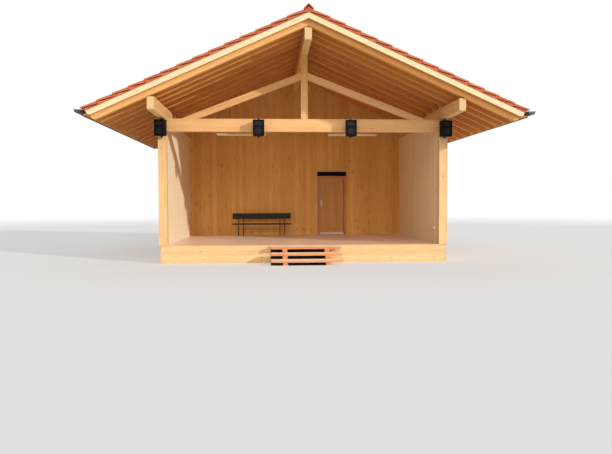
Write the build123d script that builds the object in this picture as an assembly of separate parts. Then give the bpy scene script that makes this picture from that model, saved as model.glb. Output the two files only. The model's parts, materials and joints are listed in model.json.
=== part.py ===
from build123d import *
import os
from math import cos, radians, sin, tan

# Covered wooden stage, a timber hall open to the front under a tiled gable roof.
# Millimetres, +Z up, +X to the right and +Y towards the back as the audience sees it.
# The origin is on the ground, in the middle of the roof's outline.

# Ground plan
HALL_WIDTH = 8400.0           # over the outer boards of the side walls
STAGE_DEPTH = 6090.0          # front of the posts to the face of the partition
BUILDING_DEPTH = 8400.0       # front of the posts to the outer face of the back boards
FRONT_OVERHANG = 2160.0       # from the posts forward to the face of the barge boards
REAR_OVERHANG = 700.0

# Floor and plinth
DECK_TOP = 515.0              # height of the stage floor above the ground
DECK_BOARD = 40.0
PLINTH_BOARD = 40.0
PLINTH_INSET = 30.0           # the plinth stands back under the side walls
PLINTH_SETBACK = 20.0         # and behind the faces of the posts
JOIST_WIDTH = 80.0
JOIST_HEIGHT = 180.0
JOIST_COUNT = 11
BEARER_WIDTH = 240.0
BEARER_COUNT = 4

# Walls
POST_WIDTH = 210.0
POST_DEPTH = 200.0
CLADDING = 35.0               # outer boards
LINING = 25.0                 # inner boards of the stage
BACK_WALL = 160.0             # frame of the back wall, without its outer boards
PARTITION = 120.0

# Front truss
BEAM_BOTTOM = 3285.0          # clear height over the stage floor
BEAM_HEIGHT = 365.0
BEAM_DEPTH = 200.0
KING_POST_WIDTH = 200.0
STRUT_WIDTH = 160.0
STRUT_HEIGHT = 190.0
STRUT_SLOPE = 21.0
STRUT_FOOT = 3580.0           # where the strut's upper edge meets the beam, from the middle

# Purlins and roof slope
PITCH = 24.1
PURLIN_WIDTH = 180.0
EAVES_PURLIN_HEIGHT = 335.0
RIDGE_PURLIN_WIDTH = 190.0
RIDGE_PURLIN_HEIGHT = 340.0
PURLIN_SETBACK = 200.0        # purlin ends behind the face of the barge boards
PURLIN_NOSE = 40.0            # rounding of a purlin's lower end corner
BIRDSMOUTH_SEAT = 40.0        # level seat that the eaves purlin cuts into each rafter
RIDGE_SEAT = 37.0             # and the ridge purlin, from its upper edges inwards

# Rafters and roof skin, heights measured square to the slope
RAFTER_WIDTH = 120.0
VERGE_RAFTER_WIDTH = 160.0
RAFTER_HEIGHT = 180.0
RAFTER_TAIL_BACK = 205.0      # end of their underside short of the roof boards' end
RAFTER_NOSE = 110.0
RAFTER_OVER_WALL = 80.0       # rafter at the wall forward of the posts' faces
VERGE_SETBACK = 150.0         # first rafter behind the face of the barge boards
FRONT_BAYS = 3
INNER_BAYS = 11
ROOF_BOARD = 24.0
BATTEN_HEIGHT = 120.0         # counter batten and tile batten together
BATTEN_WIDTH = 60.0
BATTEN_RIDGE_GAP = 30.0
EAVES_BOARD = 25.0
ROOF_EDGE = 5735.0            # plumb end of the roof boards and battens, from the ridge line
BARGE_THICKNESS = 40.0
BARGE_HEIGHT = 135.0
BARGE_DROP = 60.0             # top of the barge board below the top of the battens
BARGE_TAIL_BACK = 175.0       # lower end of its underside short of the roof boards' end
BARGE_NOSE = 80.0
BLOCK_THICKNESS = 40.0        # boards that close the wall between the rafters

# Tiles
COURSE_COUNT = 14
TILE_OVERHANG = 40.0          # foot of the lowest course beyond the roof boards' end
TILE_HEAD = 30.0              # rise of a course at its upper end
TILE_STEP = 50.0              # how much more it rises at its lower end
VERGE_TILE = 18.0             # thickness of the flange that hangs over the barge board
VERGE_TILE_GAP = 5.0
VERGE_TILE_DROP = 62.0        # flange below the underside of the tiles
VERGE_TILE_REACH = 20.0       # flange beyond the lower end of the barge board
RIDGE_CAP_HALF = 135.0
RIDGE_CAP_RISE = 160.0        # crown of the cap above the tiles at the ridge line
RIDGE_CAP_WALL = 20.0         # discs that close its ends
RIDGE_CAP_FOOT = 40.0         # width of its feet on the tiles
RIDGE_CAP_CROWN = 45.0

# Gutters
GUTTER_RADIUS = 95.0
GUTTER_WALL = 4.0
GUTTER_BEAD = 9.0
GUTTER_STANDOFF = 8.0         # gutter clear of the eaves board
GUTTER_DROP = 5.0             # rim below the lower edge of the tiles
GUTTER_INSET = 12.0           # gutter end behind the face of the barge boards
BRACKET_WIDTH = 30.0
BRACKET_THICKNESS = 5.0
BRACKET_TONGUE = 24.0         # height of the tongue on the eaves board
BRACKET_END = 18.0            # strap ends below the rim at the bead

# Door in the partition
DOOR_FRAME_LEFT = 815.0       # outer edge of the frame, from the middle
DOOR_FRAME_WIDTH = 1108.0
DOOR_FRAME_HEIGHT = 2225.0
DOOR_JAMB = 95.0
DOOR_HEAD = 80.0
DOOR_GAP = 5.0
DOOR_FLOOR_GAP = 8.0
DOOR_THICKNESS = 60.0
WEATHER_BAR_HEIGHT = 70.0
WEATHER_BAR_THICKNESS = 14.0
WEATHER_BAR_FOOT = 35.0       # upright part under its slope
HANDLE_HEIGHT = 1180.0        # lever above the floor
HANDLE_INSET = 55.0           # lever spindle from the leaf's free edge
HANDLE_PLATE = (32.0, 4.0, 280.0)
HANDLE_SPINDLE_RADIUS = 9.0
HANDLE_REACH = 48.0
HANDLE_LEVER = 125.0
TRANSOM_HEIGHT = 165.0
TRANSOM_PANE = 8.0
TRANSOM_RECESS = 40.0
HINGE_COUNT = 3
HINGE_RADIUS = 10.0
HINGE_PIN_RADIUS = 5.0
HINGE_PIN_LENGTH = 110.0
HINGE_HEIGHT = 60.0           # one knuckle
HINGE_PLATE = (45.0, 3.0)
HINGE_CLEARANCE = 0.4
HINGE_END = 250.0             # lowest and highest hinge from the ends of the leaf

# Steps in front of the stage
STEP_COUNT = 3
STEP_WIDTH = 2020.0
STEP_CENTRE = 20.0
STEP_RISE = 165.0
STEP_GOING = 300.0
STEP_TOP_DROP = 20.0          # top tread below the stage floor
TREAD_THICKNESS = 80.0
STRINGER_WIDTH = 137.0
STRINGER_SPACING = 1210.0
STRINGER_SETBACK = 40.0

# Loudspeakers on the beam
SPEAKER_WIDTH = 325.0
SPEAKER_BACK_WIDTH = 200.0
SPEAKER_DEPTH = 260.0
SPEAKER_HEIGHT = 458.0
SPEAKER_ROUND = 18.0
SPEAKER_PIVOT = 190.0         # pivot in front of the beam
SPEAKER_PLACES = ((-4070.0, -24.0), (-1320.0, 0.0), (1320.0, 0.0), (4070.0, 24.0))
YOKE_WIDTH = 40.0
YOKE_THICKNESS = 6.0
YOKE_GAP = 6.0
YOKE_PIVOT_RADIUS = 10.0
YOKE_DROP = 42.0              # top of a yoke below the top of the beam

# Lamps
LAMP_LENGTH = 1520.0
LAMP_WIDTH = 100.0
LAMP_HEIGHT = 85.0
LAMP_SLANT = 28.0             # width and height of its slanted corners
LAMP_TOP = 3400.0             # above the stage floor
LAMP_CENTRES = (-1868.0, 1590.0)
LAMP_BAYS = 2                 # bays from the posts back to the rafter that carries them
LAMP_ROD_RADIUS = 5.0
LAMP_ROD_INSET = 240.0

# Bench on the stage
BENCH_CENTRE = -1295.0
BENCH_LENGTH = 2160.0
BENCH_SETBACK = 420.0         # back board in front of the partition
BENCH_SEAT_TOP = 455.0
BENCH_SEAT_DEPTH = 360.0      # front of the seat to the back board's face
BENCH_SEAT_GAP = 30.0         # rear of the seat to the back board's face
BENCH_SEAT_NARROW = 120.0     # narrow front board of the seat
BENCH_SEAT_SEAM = 8.0
BENCH_SEAT_BOARD = 34.0
BENCH_BACK_BOTTOM = 620.0
BENCH_BACK_HEIGHT = 205.0
BENCH_BACK_BOARD = 30.0
BENCH_TUBE_RADIUS = 14.0
BENCH_TUBE_BEND = 60.0
BENCH_TUBE_PAIR = 175.0
BENCH_FRAME_SPACING = 1530.0
BENCH_REAR_LEG = 120.0        # rear leg in front of the back board's face
BENCH_FRONT_LEG = 20.0        # front leg behind the seat's front edge
BENCH_LOOP_DROP = 15.0        # top of the tube below the top of the back board

# Socket box on the right wall
SOCKET_SIZE = (45.0, 85.0, 85.0)
SOCKET_BACK = 565.0           # behind the posts' front face
SOCKET_HEIGHT = 465.0

# Places that follow from the sizes above
SLOPE = radians(PITCH)
Y_VERGE_FRONT = -(FRONT_OVERHANG + BUILDING_DEPTH + REAR_OVERHANG) / 2
Y_VERGE_REAR = -Y_VERGE_FRONT
Y_WALL = Y_VERGE_FRONT + FRONT_OVERHANG
Y_BACK = Y_WALL + BUILDING_DEPTH
Y_PARTITION = Y_WALL + STAGE_DEPTH
Y_PARTITION_REAR = Y_PARTITION + PARTITION
X_CLADDING = HALL_WIDTH / 2
X_POST = X_CLADDING - CLADDING
X_LINING = X_POST - POST_WIDTH
X_CORE = X_LINING + LINING
X_PLINTH = X_CLADDING - PLINTH_INSET
Z_BEAM = DECK_TOP + BEAM_BOTTOM
Z_PLATE = Z_BEAM + BEAM_HEIGHT
Z_EAVES_PURLIN = Z_PLATE + EAVES_PURLIN_HEIGHT
X_PURLIN = X_POST - PURLIN_WIDTH
Z_RIDGE_UNDER = Z_EAVES_PURLIN + (X_POST - BIRDSMOUTH_SEAT) * tan(SLOPE)
X_RIDGE = RIDGE_PURLIN_WIDTH / 2
Z_RIDGE_TOP = Z_RIDGE_UNDER - (X_RIDGE - RIDGE_SEAT) * tan(SLOPE)
Z_RIDGE_BOTTOM = Z_RIDGE_TOP - RIDGE_PURLIN_HEIGHT
BOARD_TOP = RAFTER_HEIGHT + ROOF_BOARD
TILE_UNDER = BOARD_TOP + BATTEN_HEIGHT
BARGE_TOP = TILE_UNDER - BARGE_DROP
RAFTER_TAIL = ROOF_EDGE - RAFTER_TAIL_BACK
BARGE_TAIL = ROOF_EDGE - BARGE_TAIL_BACK
TILE_END = ROOF_EDGE + TILE_OVERHANG - TILE_UNDER * sin(SLOPE)
Y_TILES_FRONT = Y_VERGE_FRONT - VERGE_TILE_GAP - VERGE_TILE
Y_TILES_REAR = -Y_TILES_FRONT
Y_PURLIN_FRONT = Y_VERGE_FRONT + PURLIN_SETBACK
Y_PURLIN_REAR = Y_VERGE_REAR - PURLIN_SETBACK
YOKE_REACH = SPEAKER_HEIGHT / 2 + YOKE_GAP
Z_SPEAKER = Z_PLATE - YOKE_DROP - YOKE_THICKNESS - YOKE_REACH


def under(x):
    """Height of the rafters' underside at the distance x from the ridge line."""
    return Z_RIDGE_UNDER - x * tan(SLOPE)


def on_slope(run, height):
    """Point square above the rafters' underside, on the right-hand slope."""
    return (run + height * sin(SLOPE), under(run) + height * cos(SLOPE))


def at_x(x, height):
    """Point plumb over x on the layer that lies height above the rafters' underside."""
    return (x, under(x) + height / cos(SLOPE))


def block(x0, x1, y0, y1, z0, z1):
    centre = Pos((x0 + x1) / 2, (y0 + y1) / 2, (z0 + z1) / 2)
    return centre * Box(x1 - x0, y1 - y0, z1 - z0)


def along_y(outline, y0, y1):
    """Solid with an outline of (x, z) points, from y0 to y1."""
    wire = Polyline(*[(x, y0, z) for x, z in outline], close=True)
    return extrude(make_face(wire), amount=y1 - y0, dir=(0, 1, 0))


def along_x(outline, x0, x1):
    """Solid with an outline of (y, z) points, from x0 to x1."""
    wire = Polyline(*[(x0, y, z) for y, z in outline], close=True)
    return extrude(make_face(wire), amount=x1 - x0, dir=(1, 0, 0))


def rounded(solid, axis, corner, radius):
    """The solid with its edge along axis that lies nearest to the corner rounded."""
    edges = solid.edges().filter_by(axis)
    nearest = min(edges, key=lambda edge: (edge.center() - Vector(*corner)).length)
    return fillet(nearest, radius)


def left_of(piece):
    return mirror(piece, about=Plane.YZ)


def group(pieces):
    """One node of solids that stand apart."""
    solids = [solid for piece in pieces for solid in piece.solids()]
    return Compound(children=solids)


def both_sides(piece):
    return group([left_of(piece), piece])


def evenly(first, last, count):
    return [first + (last - first) * i / (count - 1) for i in range(count)]


def rafter_fronts():
    """Front faces of the rafters behind the front verge rafter, and of the rear verge rafter."""
    first = Y_VERGE_FRONT + VERGE_SETBACK
    over_wall = Y_WALL - RAFTER_OVER_WALL
    last = Y_VERGE_REAR - VERGE_SETBACK - VERGE_RAFTER_WIDTH
    front = evenly(first, over_wall, FRONT_BAYS + 1)
    return front + evenly(over_wall, last, INNER_BAYS + 1)[1:]


def rafter_spans():
    """Front and rear face of each rafter."""
    fronts = rafter_fronts()
    widths = [RAFTER_WIDTH] * len(fronts)
    widths[0] = widths[-1] = VERGE_RAFTER_WIDTH
    return [(front, front + width) for front, width in zip(fronts, widths)]


# Floor and plinth

def plinth_ends():
    x = X_PLINTH - PLINTH_BOARD
    front = Y_WALL + PLINTH_SETBACK
    rear = Y_BACK - PLINTH_SETBACK
    return group([
        block(-x, x, front, front + PLINTH_BOARD, 0, DECK_TOP),
        block(-x, x, rear - PLINTH_BOARD, rear, 0, DECK_TOP),
    ])


def plinth_sides():
    return both_sides(block(X_PLINTH - PLINTH_BOARD, X_PLINTH, Y_WALL + PLINTH_SETBACK,
                            Y_BACK - PLINTH_SETBACK, 0, DECK_TOP))


def floor_ends():
    inset = PLINTH_SETBACK + PLINTH_BOARD
    return Y_WALL + inset, Y_BACK - inset


def stage_floor():
    front, rear = floor_ends()
    x = X_PLINTH - PLINTH_BOARD
    return block(-x, x, front, rear, DECK_TOP - DECK_BOARD, DECK_TOP)


def floor_joists():
    front, rear = floor_ends()
    top = DECK_TOP - DECK_BOARD
    reach = X_PLINTH - PLINTH_BOARD - JOIST_WIDTH / 2
    return group([
        block(x - JOIST_WIDTH / 2, x + JOIST_WIDTH / 2, front, rear, top - JOIST_HEIGHT, top)
        for x in evenly(-reach, reach, JOIST_COUNT)
    ])


def bearer_centres():
    front, rear = floor_ends()
    return evenly(front + BEARER_WIDTH / 2, rear - BEARER_WIDTH / 2, BEARER_COUNT)


def floor_bearers():
    x = X_PLINTH - PLINTH_BOARD
    top = DECK_TOP - DECK_BOARD - JOIST_HEIGHT
    return group([
        block(-x, x, y - BEARER_WIDTH / 2, y + BEARER_WIDTH / 2, 0, top)
        for y in bearer_centres()
    ])


# Side walls

def front_posts():
    return both_sides(block(X_LINING, X_POST, Y_WALL, Y_WALL + POST_DEPTH, DECK_TOP, Z_BEAM))


def wall_core():
    return block(X_CORE, X_POST, Y_WALL + POST_DEPTH, Y_BACK - CLADDING, DECK_TOP, Z_PLATE)


def side_linings():
    return both_sides(block(X_LINING, X_CORE, Y_WALL + POST_DEPTH, Y_PARTITION,
                            DECK_TOP, Z_PLATE))


def side_boards():
    """Outer boards, notched round the ends of the front beam."""
    top = under(X_CLADDING)
    outline = [(Y_WALL, DECK_TOP), (Y_WALL, Z_BEAM), (Y_WALL + BEAM_DEPTH, Z_BEAM),
               (Y_WALL + BEAM_DEPTH, top), (Y_BACK, top), (Y_BACK, DECK_TOP)]
    return both_sides(along_x(outline, X_POST, X_CLADDING))


# Gable walls across the building

def purlin_spaces(y0, y1):
    ridge = block(-X_RIDGE, X_RIDGE, y0, y1, Z_RIDGE_BOTTOM, Z_RIDGE_TOP)
    eaves = block(X_PURLIN, X_POST, y0, y1, Z_PLATE, Z_EAVES_PURLIN)
    return [ridge, eaves, left_of(eaves)]


def gable(half_width, y0, y1, bottom):
    """Wall up to the roof boards, scribed round the purlins and rafters."""
    x, top = at_x(half_width, RAFTER_HEIGHT)
    outline = [(-x, bottom), (x, bottom), (x, top), at_x(0, RAFTER_HEIGHT), (-x, top)]
    wall = along_y(outline, y0, y1) - purlin_spaces(y0, y1)
    for front, rear in rafter_spans():
        if front < y1 and rear > y0:
            timber = rafter(front, rear)
            wall -= [timber, left_of(timber)]
    return wall


def back_wall():
    y1 = Y_BACK - CLADDING
    return gable(X_CORE, y1 - BACK_WALL, y1, DECK_TOP)


def back_boards():
    return gable(X_POST, Y_BACK - CLADDING, Y_BACK, DECK_TOP)


def door_right():
    return DOOR_FRAME_LEFT + DOOR_FRAME_WIDTH


def partition_left():
    return block(-X_CORE, DOOR_FRAME_LEFT, Y_PARTITION, Y_PARTITION_REAR, DECK_TOP, Z_PLATE)


def partition_right():
    return block(door_right(), X_CORE, Y_PARTITION, Y_PARTITION_REAR, DECK_TOP, Z_PLATE)


def partition_over_door():
    bottom = DECK_TOP + DOOR_FRAME_HEIGHT + TRANSOM_HEIGHT
    return block(DOOR_FRAME_LEFT, door_right(), Y_PARTITION, Y_PARTITION_REAR, bottom, Z_PLATE)


def partition_gable():
    return gable(X_PURLIN, Y_PARTITION, Y_PARTITION_REAR, Z_PLATE)


# Door

def door_frame():
    top = DECK_TOP + DOOR_FRAME_HEIGHT
    outer = block(DOOR_FRAME_LEFT, door_right(), Y_PARTITION, Y_PARTITION_REAR, DECK_TOP, top)
    inner = block(DOOR_FRAME_LEFT + DOOR_JAMB, door_right() - DOOR_JAMB,
                  Y_PARTITION, Y_PARTITION_REAR, DECK_TOP, top - DOOR_HEAD)
    return outer - inner


def leaf_box():
    """Left, right, front, rear, bottom and top of the door leaf."""
    left = DOOR_FRAME_LEFT + DOOR_JAMB + DOOR_GAP
    right = door_right() - DOOR_JAMB - DOOR_GAP
    top = DECK_TOP + DOOR_FRAME_HEIGHT - DOOR_HEAD - DOOR_GAP
    return (left, right, Y_PARTITION_REAR - DOOR_THICKNESS, Y_PARTITION_REAR,
            DECK_TOP + DOOR_FLOOR_GAP, top)


def door_leaf():
    return block(*leaf_box())


def door_weather_bar():
    left, right, front, rear, bottom, top = leaf_box()
    outline = [(front, bottom), (front - WEATHER_BAR_THICKNESS, bottom),
               (front - WEATHER_BAR_THICKNESS, bottom + WEATHER_BAR_FOOT),
               (front, bottom + WEATHER_BAR_HEIGHT)]
    return along_x(outline, left, right)


def handle_side(y, outward):
    """Plate, spindle and lever on one face of the leaf."""
    width, thickness, height = HANDLE_PLATE
    x = leaf_box()[0] + HANDLE_INSET
    z = DECK_TOP + HANDLE_HEIGHT
    plate = Pos(x, y + outward * thickness / 2, z) * Box(width, thickness, height)
    spindle = Pos(x, y + outward * HANDLE_REACH / 2, z) * Rot(90, 0, 0) * Cylinder(
        HANDLE_SPINDLE_RADIUS, HANDLE_REACH)
    lever = Pos(x + HANDLE_LEVER / 2 - HANDLE_SPINDLE_RADIUS, y + outward * HANDLE_REACH, z)
    return plate + spindle + lever * Box(
        HANDLE_LEVER, HANDLE_SPINDLE_RADIUS * 2, HANDLE_SPINDLE_RADIUS * 2)


def door_handle():
    box = leaf_box()
    return group([handle_side(box[2], -1), handle_side(box[3], 1)])


def hinge_centres():
    box = leaf_box()
    return evenly(box[4] + HINGE_END, box[5] - HINGE_END, HINGE_COUNT)


def hinge_axis():
    """Plan position of the hinge pins, in the gap beside the leaf and behind it."""
    return (leaf_box()[1] + DOOR_GAP / 2, Y_PARTITION_REAR + HINGE_RADIUS)


def hinge_frame_halves():
    """Lower knuckle with its pin, on a plate on the jamb."""
    x, y = hinge_axis()
    width, thickness = HINGE_PLATE
    halves = []
    for z in hinge_centres():
        knuckle = Pos(x, y, z - HINGE_HEIGHT / 2) * Cylinder(HINGE_RADIUS, HINGE_HEIGHT)
        pin = Pos(x, y, z) * Cylinder(HINGE_PIN_RADIUS, HINGE_PIN_LENGTH)
        plate = block(x, x + width, Y_PARTITION_REAR, Y_PARTITION_REAR + thickness,
                      z - HINGE_HEIGHT, z)
        halves.append(knuckle + pin + plate)
    return group(halves)


def hinge_leaf_halves():
    """Upper knuckle that turns on the pin, on a plate on the leaf."""
    x, y = hinge_axis()
    width, thickness = HINGE_PLATE
    height = HINGE_HEIGHT - HINGE_CLEARANCE
    halves = []
    for z in hinge_centres():
        middle = z + HINGE_CLEARANCE + height / 2
        knuckle = Pos(x, y, middle) * Cylinder(HINGE_RADIUS, height)
        plate = block(x - width, x, Y_PARTITION_REAR, Y_PARTITION_REAR + thickness,
                      middle - height / 2, middle + height / 2)
        bore = Pos(x, y, middle) * Cylinder(HINGE_PIN_RADIUS + HINGE_CLEARANCE, height)
        halves.append(knuckle + plate - bore)
    return group(halves)


def transom_pane():
    bottom = DECK_TOP + DOOR_FRAME_HEIGHT
    front = Y_PARTITION + TRANSOM_RECESS
    return block(DOOR_FRAME_LEFT, door_right(), front, front + TRANSOM_PANE,
                 bottom, bottom + TRANSOM_HEIGHT)


# Front truss

def tie_beam():
    return block(-X_CLADDING, X_CLADDING, Y_WALL, Y_WALL + BEAM_DEPTH, Z_BEAM, Z_PLATE)


def king_post():
    x = KING_POST_WIDTH / 2
    return block(-x, x, Y_WALL, Y_WALL + BEAM_DEPTH, Z_PLATE, Z_RIDGE_BOTTOM)


def struts():
    """Raking struts from the beam to the king post, cut level at the foot and plumb on top."""
    slope = radians(STRUT_SLOPE)
    x = KING_POST_WIDTH / 2
    foot = STRUT_FOOT - STRUT_HEIGHT / sin(slope)
    outline = [(foot, Z_PLATE), (STRUT_FOOT, Z_PLATE),
               (x, Z_PLATE + (STRUT_FOOT - x) * tan(slope)),
               (x, Z_PLATE + (foot - x) * tan(slope))]
    front = Y_WALL + (BEAM_DEPTH - STRUT_WIDTH) / 2
    return both_sides(along_y(outline, front, front + STRUT_WIDTH))


# Purlins

def purlin(x0, x1, bottom, top):
    """Timber along the building whose lower end corners are rounded."""
    timber = block(x0, x1, Y_PURLIN_FRONT, Y_PURLIN_REAR, bottom, top)
    middle = (x0 + x1) / 2
    timber = rounded(timber, Axis.X, (middle, Y_PURLIN_FRONT, bottom), PURLIN_NOSE)
    return rounded(timber, Axis.X, (middle, Y_PURLIN_REAR, bottom), PURLIN_NOSE)


def ridge_purlin():
    return purlin(-X_RIDGE, X_RIDGE, Z_RIDGE_BOTTOM, Z_RIDGE_TOP)


def eaves_purlins():
    return both_sides(purlin(X_PURLIN, X_POST, Z_PLATE, Z_EAVES_PURLIN))


# Rafters

def rafter(front, rear):
    """Right-hand rafter, with a birdsmouth over each purlin and a rounded tail."""
    seat_start = X_POST - BIRDSMOUTH_SEAT
    outline = [(0, under(0)), (X_RIDGE - RIDGE_SEAT, Z_RIDGE_TOP), (X_RIDGE, Z_RIDGE_TOP),
               (X_RIDGE, under(X_RIDGE)), (seat_start, Z_EAVES_PURLIN),
               (X_POST, Z_EAVES_PURLIN), (X_POST, under(X_POST)),
               on_slope(RAFTER_TAIL, 0), on_slope(RAFTER_TAIL, RAFTER_HEIGHT),
               at_x(0, RAFTER_HEIGHT)]
    timber = along_y(outline, front, rear)
    tail_x, tail_z = on_slope(RAFTER_TAIL, 0)
    return rounded(timber, Axis.Y, (tail_x, (front + rear) / 2, tail_z), RAFTER_NOSE)


def rafters_right():
    return group([rafter(front, rear) for front, rear in rafter_spans()])


def rafter_blocks():
    """Boards on the eaves purlins that close the wall between one rafter and the next."""
    inner = X_POST - BLOCK_THICKNESS
    outline = [(inner, Z_EAVES_PURLIN), (X_POST, Z_EAVES_PURLIN),
               at_x(X_POST, RAFTER_HEIGHT), at_x(inner, RAFTER_HEIGHT)]
    spans = rafter_spans()
    gaps = [(spans[i][1], spans[i + 1][0]) for i in range(len(spans) - 1)]
    last = Y_BACK - CLADDING
    blocks = [along_y(outline, max(start, Y_WALL), min(end, last))
              for start, end in gaps if end > Y_WALL and start < last]
    return group([both_sides(piece) for piece in blocks])


# Roof skin

def board_ends():
    return Y_VERGE_FRONT + BARGE_THICKNESS, Y_VERGE_REAR - BARGE_THICKNESS


def layer(low, high, x0, x1, y0, y1):
    """Layer of the right-hand roof between two heights, with plumb ends."""
    outline = [at_x(x0, low), at_x(x1, low), at_x(x1, high), at_x(x0, high)]
    return along_y(outline, y0, y1)


def roof_boards_right():
    return layer(RAFTER_HEIGHT, BOARD_TOP, 0, ROOF_EDGE, *board_ends())


def roof_battens():
    """Battens up the slope over each rafter, which carry the tiles."""
    battens = []
    for front, rear in rafter_spans():
        middle = (front + rear) / 2
        battens.append(layer(BOARD_TOP, TILE_UNDER, BATTEN_RIDGE_GAP, ROOF_EDGE,
                             middle - BATTEN_WIDTH / 2, middle + BATTEN_WIDTH / 2))
    return group([both_sides(batten) for batten in battens])


def eaves_boards():
    """Plumb boards over the ends of the roof boards and battens."""
    outline = [at_x(ROOF_EDGE, RAFTER_HEIGHT), at_x(ROOF_EDGE + EAVES_BOARD, RAFTER_HEIGHT),
               at_x(ROOF_EDGE + EAVES_BOARD, TILE_UNDER), at_x(ROOF_EDGE, TILE_UNDER)]
    return both_sides(along_y(outline, *board_ends()))


def barge_board(y0, y1):
    """Right-hand barge board with a rounded lower end."""
    low = BARGE_TOP - BARGE_HEIGHT
    outline = [at_x(0, low), on_slope(BARGE_TAIL, low), on_slope(BARGE_TAIL, BARGE_TOP),
               at_x(0, BARGE_TOP)]
    board = along_y(outline, y0, y1)
    tail_x, tail_z = on_slope(BARGE_TAIL, low)
    return rounded(board, Axis.Y, (tail_x, (y0 + y1) / 2, tail_z), BARGE_NOSE)


def barge_boards_right():
    front, rear = board_ends()
    return group([barge_board(Y_VERGE_FRONT, front), barge_board(rear, Y_VERGE_REAR)])


# Tiles

def course_line():
    """Stepped upper line of the courses from the ridge to the eaves."""
    run = TILE_END / COURSE_COUNT
    base = TILE_UNDER + TILE_HEAD
    points = [at_x(0, base)]
    for course in range(1, COURSE_COUNT + 1):
        points.append(on_slope(course * run, base + TILE_STEP))
        points.append(on_slope(course * run, base))
    return points[:-1]


def tiles_right():
    """Stepped tile layer with the verge tiles' flanges that hang over the barge boards."""
    body = along_y([at_x(0, TILE_UNDER), on_slope(TILE_END, TILE_UNDER)] + course_line()[::-1],
                   Y_TILES_FRONT, Y_TILES_REAR)
    low = TILE_UNDER - VERGE_TILE_DROP
    end = BARGE_TAIL + VERGE_TILE_REACH
    flange = [at_x(0, low), on_slope(end, low), on_slope(end, TILE_UNDER), at_x(0, TILE_UNDER)]
    front = along_y(flange, Y_TILES_FRONT, Y_TILES_FRONT + VERGE_TILE)
    rear = along_y(flange, Y_TILES_REAR - VERGE_TILE, Y_TILES_REAR)
    return body + front + rear


def tile_top(x):
    """Height of the first course's upper face at x."""
    head_x, head_z = at_x(0, TILE_UNDER + TILE_HEAD)
    end_x, end_z = on_slope(TILE_END / COURSE_COUNT, TILE_UNDER + TILE_HEAD + TILE_STEP)
    return head_z + (end_z - head_z) * (x - head_x) / (end_x - head_x)


def ridge_cap():
    """Angled cap with a rounded crown, closed by a disc at each end."""
    crown = tile_top(0) + RIDGE_CAP_RISE
    half = RIDGE_CAP_HALF
    slope = (crown - tile_top(half)) / half
    outer = [(-half, tile_top(half)), (0, crown), (half, tile_top(half)), (0, tile_top(0))]
    body = along_y(outer, Y_TILES_FRONT, Y_TILES_REAR)
    body = rounded(body, Axis.Y, (0, 0, crown), RIDGE_CAP_CROWN)
    inner_half = half - RIDGE_CAP_FOOT
    inner = [(-inner_half, tile_top(inner_half)),
             (0, tile_top(inner_half) + inner_half * slope),
             (inner_half, tile_top(inner_half)), (0, tile_top(0))]
    return body - along_y(inner, Y_TILES_FRONT + RIDGE_CAP_WALL, Y_TILES_REAR - RIDGE_CAP_WALL)


# Gutters

def gutter_centre():
    x = ROOF_EDGE + EAVES_BOARD + GUTTER_STANDOFF + GUTTER_RADIUS
    return x, on_slope(TILE_END, TILE_UNDER)[1] - GUTTER_DROP


def half_tube(outer, inner, y0, y1):
    """Lower half of a tube round the gutter's centre line."""
    x, z = gutter_centre()
    middle = Pos(x, (y0 + y1) / 2, z) * Rot(90, 0, 0)
    tube = middle * Cylinder(outer, y1 - y0)
    if inner:
        tube -= middle * Cylinder(inner, y1 - y0)
    return tube - block(x - outer, x + outer, y0, y1, z, z + outer)


def gutter():
    x, z = gutter_centre()
    y0, y1 = Y_VERGE_FRONT + GUTTER_INSET, Y_VERGE_REAR - GUTTER_INSET
    shell = half_tube(GUTTER_RADIUS, GUTTER_RADIUS - GUTTER_WALL, y0, y1)
    bead_x = x + GUTTER_RADIUS - GUTTER_BEAD / 2
    bead = Pos(bead_x, (y0 + y1) / 2, z) * Rot(90, 0, 0) * Cylinder(GUTTER_BEAD, y1 - y0)
    ends = [half_tube(GUTTER_RADIUS, 0, y0, y0 + GUTTER_WALL),
            half_tube(GUTTER_RADIUS, 0, y1 - GUTTER_WALL, y1)]
    return shell + bead + ends


def gutters():
    return both_sides(gutter())


def gutter_bracket(y):
    """Strap under the gutter, with a tongue on the face of the eaves board."""
    x, z = gutter_centre()
    y0, y1 = y - BRACKET_WIDTH / 2, y + BRACKET_WIDTH / 2
    outer = GUTTER_RADIUS + BRACKET_THICKNESS
    strap = half_tube(outer, GUTTER_RADIUS, y0, y1)
    strap -= block(x, x + outer, y0, y1, z - BRACKET_END, z)
    face = ROOF_EDGE + EAVES_BOARD
    tongue = block(face, x - GUTTER_RADIUS, y0, y1, z - BRACKET_TONGUE, z)
    return strap + tongue


def gutter_brackets():
    spans = rafter_spans()
    middles = [(spans[i][1] + spans[i + 1][0]) / 2 for i in range(len(spans) - 1)]
    return group([both_sides(gutter_bracket(y)) for y in middles])


# Steps

def step_edges(step):
    """Front, rear and top of a tread, counted down from the stage floor."""
    rear = Y_WALL + PLINTH_SETBACK - step * STEP_GOING
    return rear - STEP_GOING, rear, DECK_TOP - STEP_TOP_DROP - step * STEP_RISE


def step_treads():
    x0 = STEP_CENTRE - STEP_WIDTH / 2
    treads = []
    for step in range(STEP_COUNT):
        front, rear, top = step_edges(step)
        treads.append(block(x0, x0 + STEP_WIDTH, front, rear, top - TREAD_THICKNESS, top))
    return group(treads)


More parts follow.
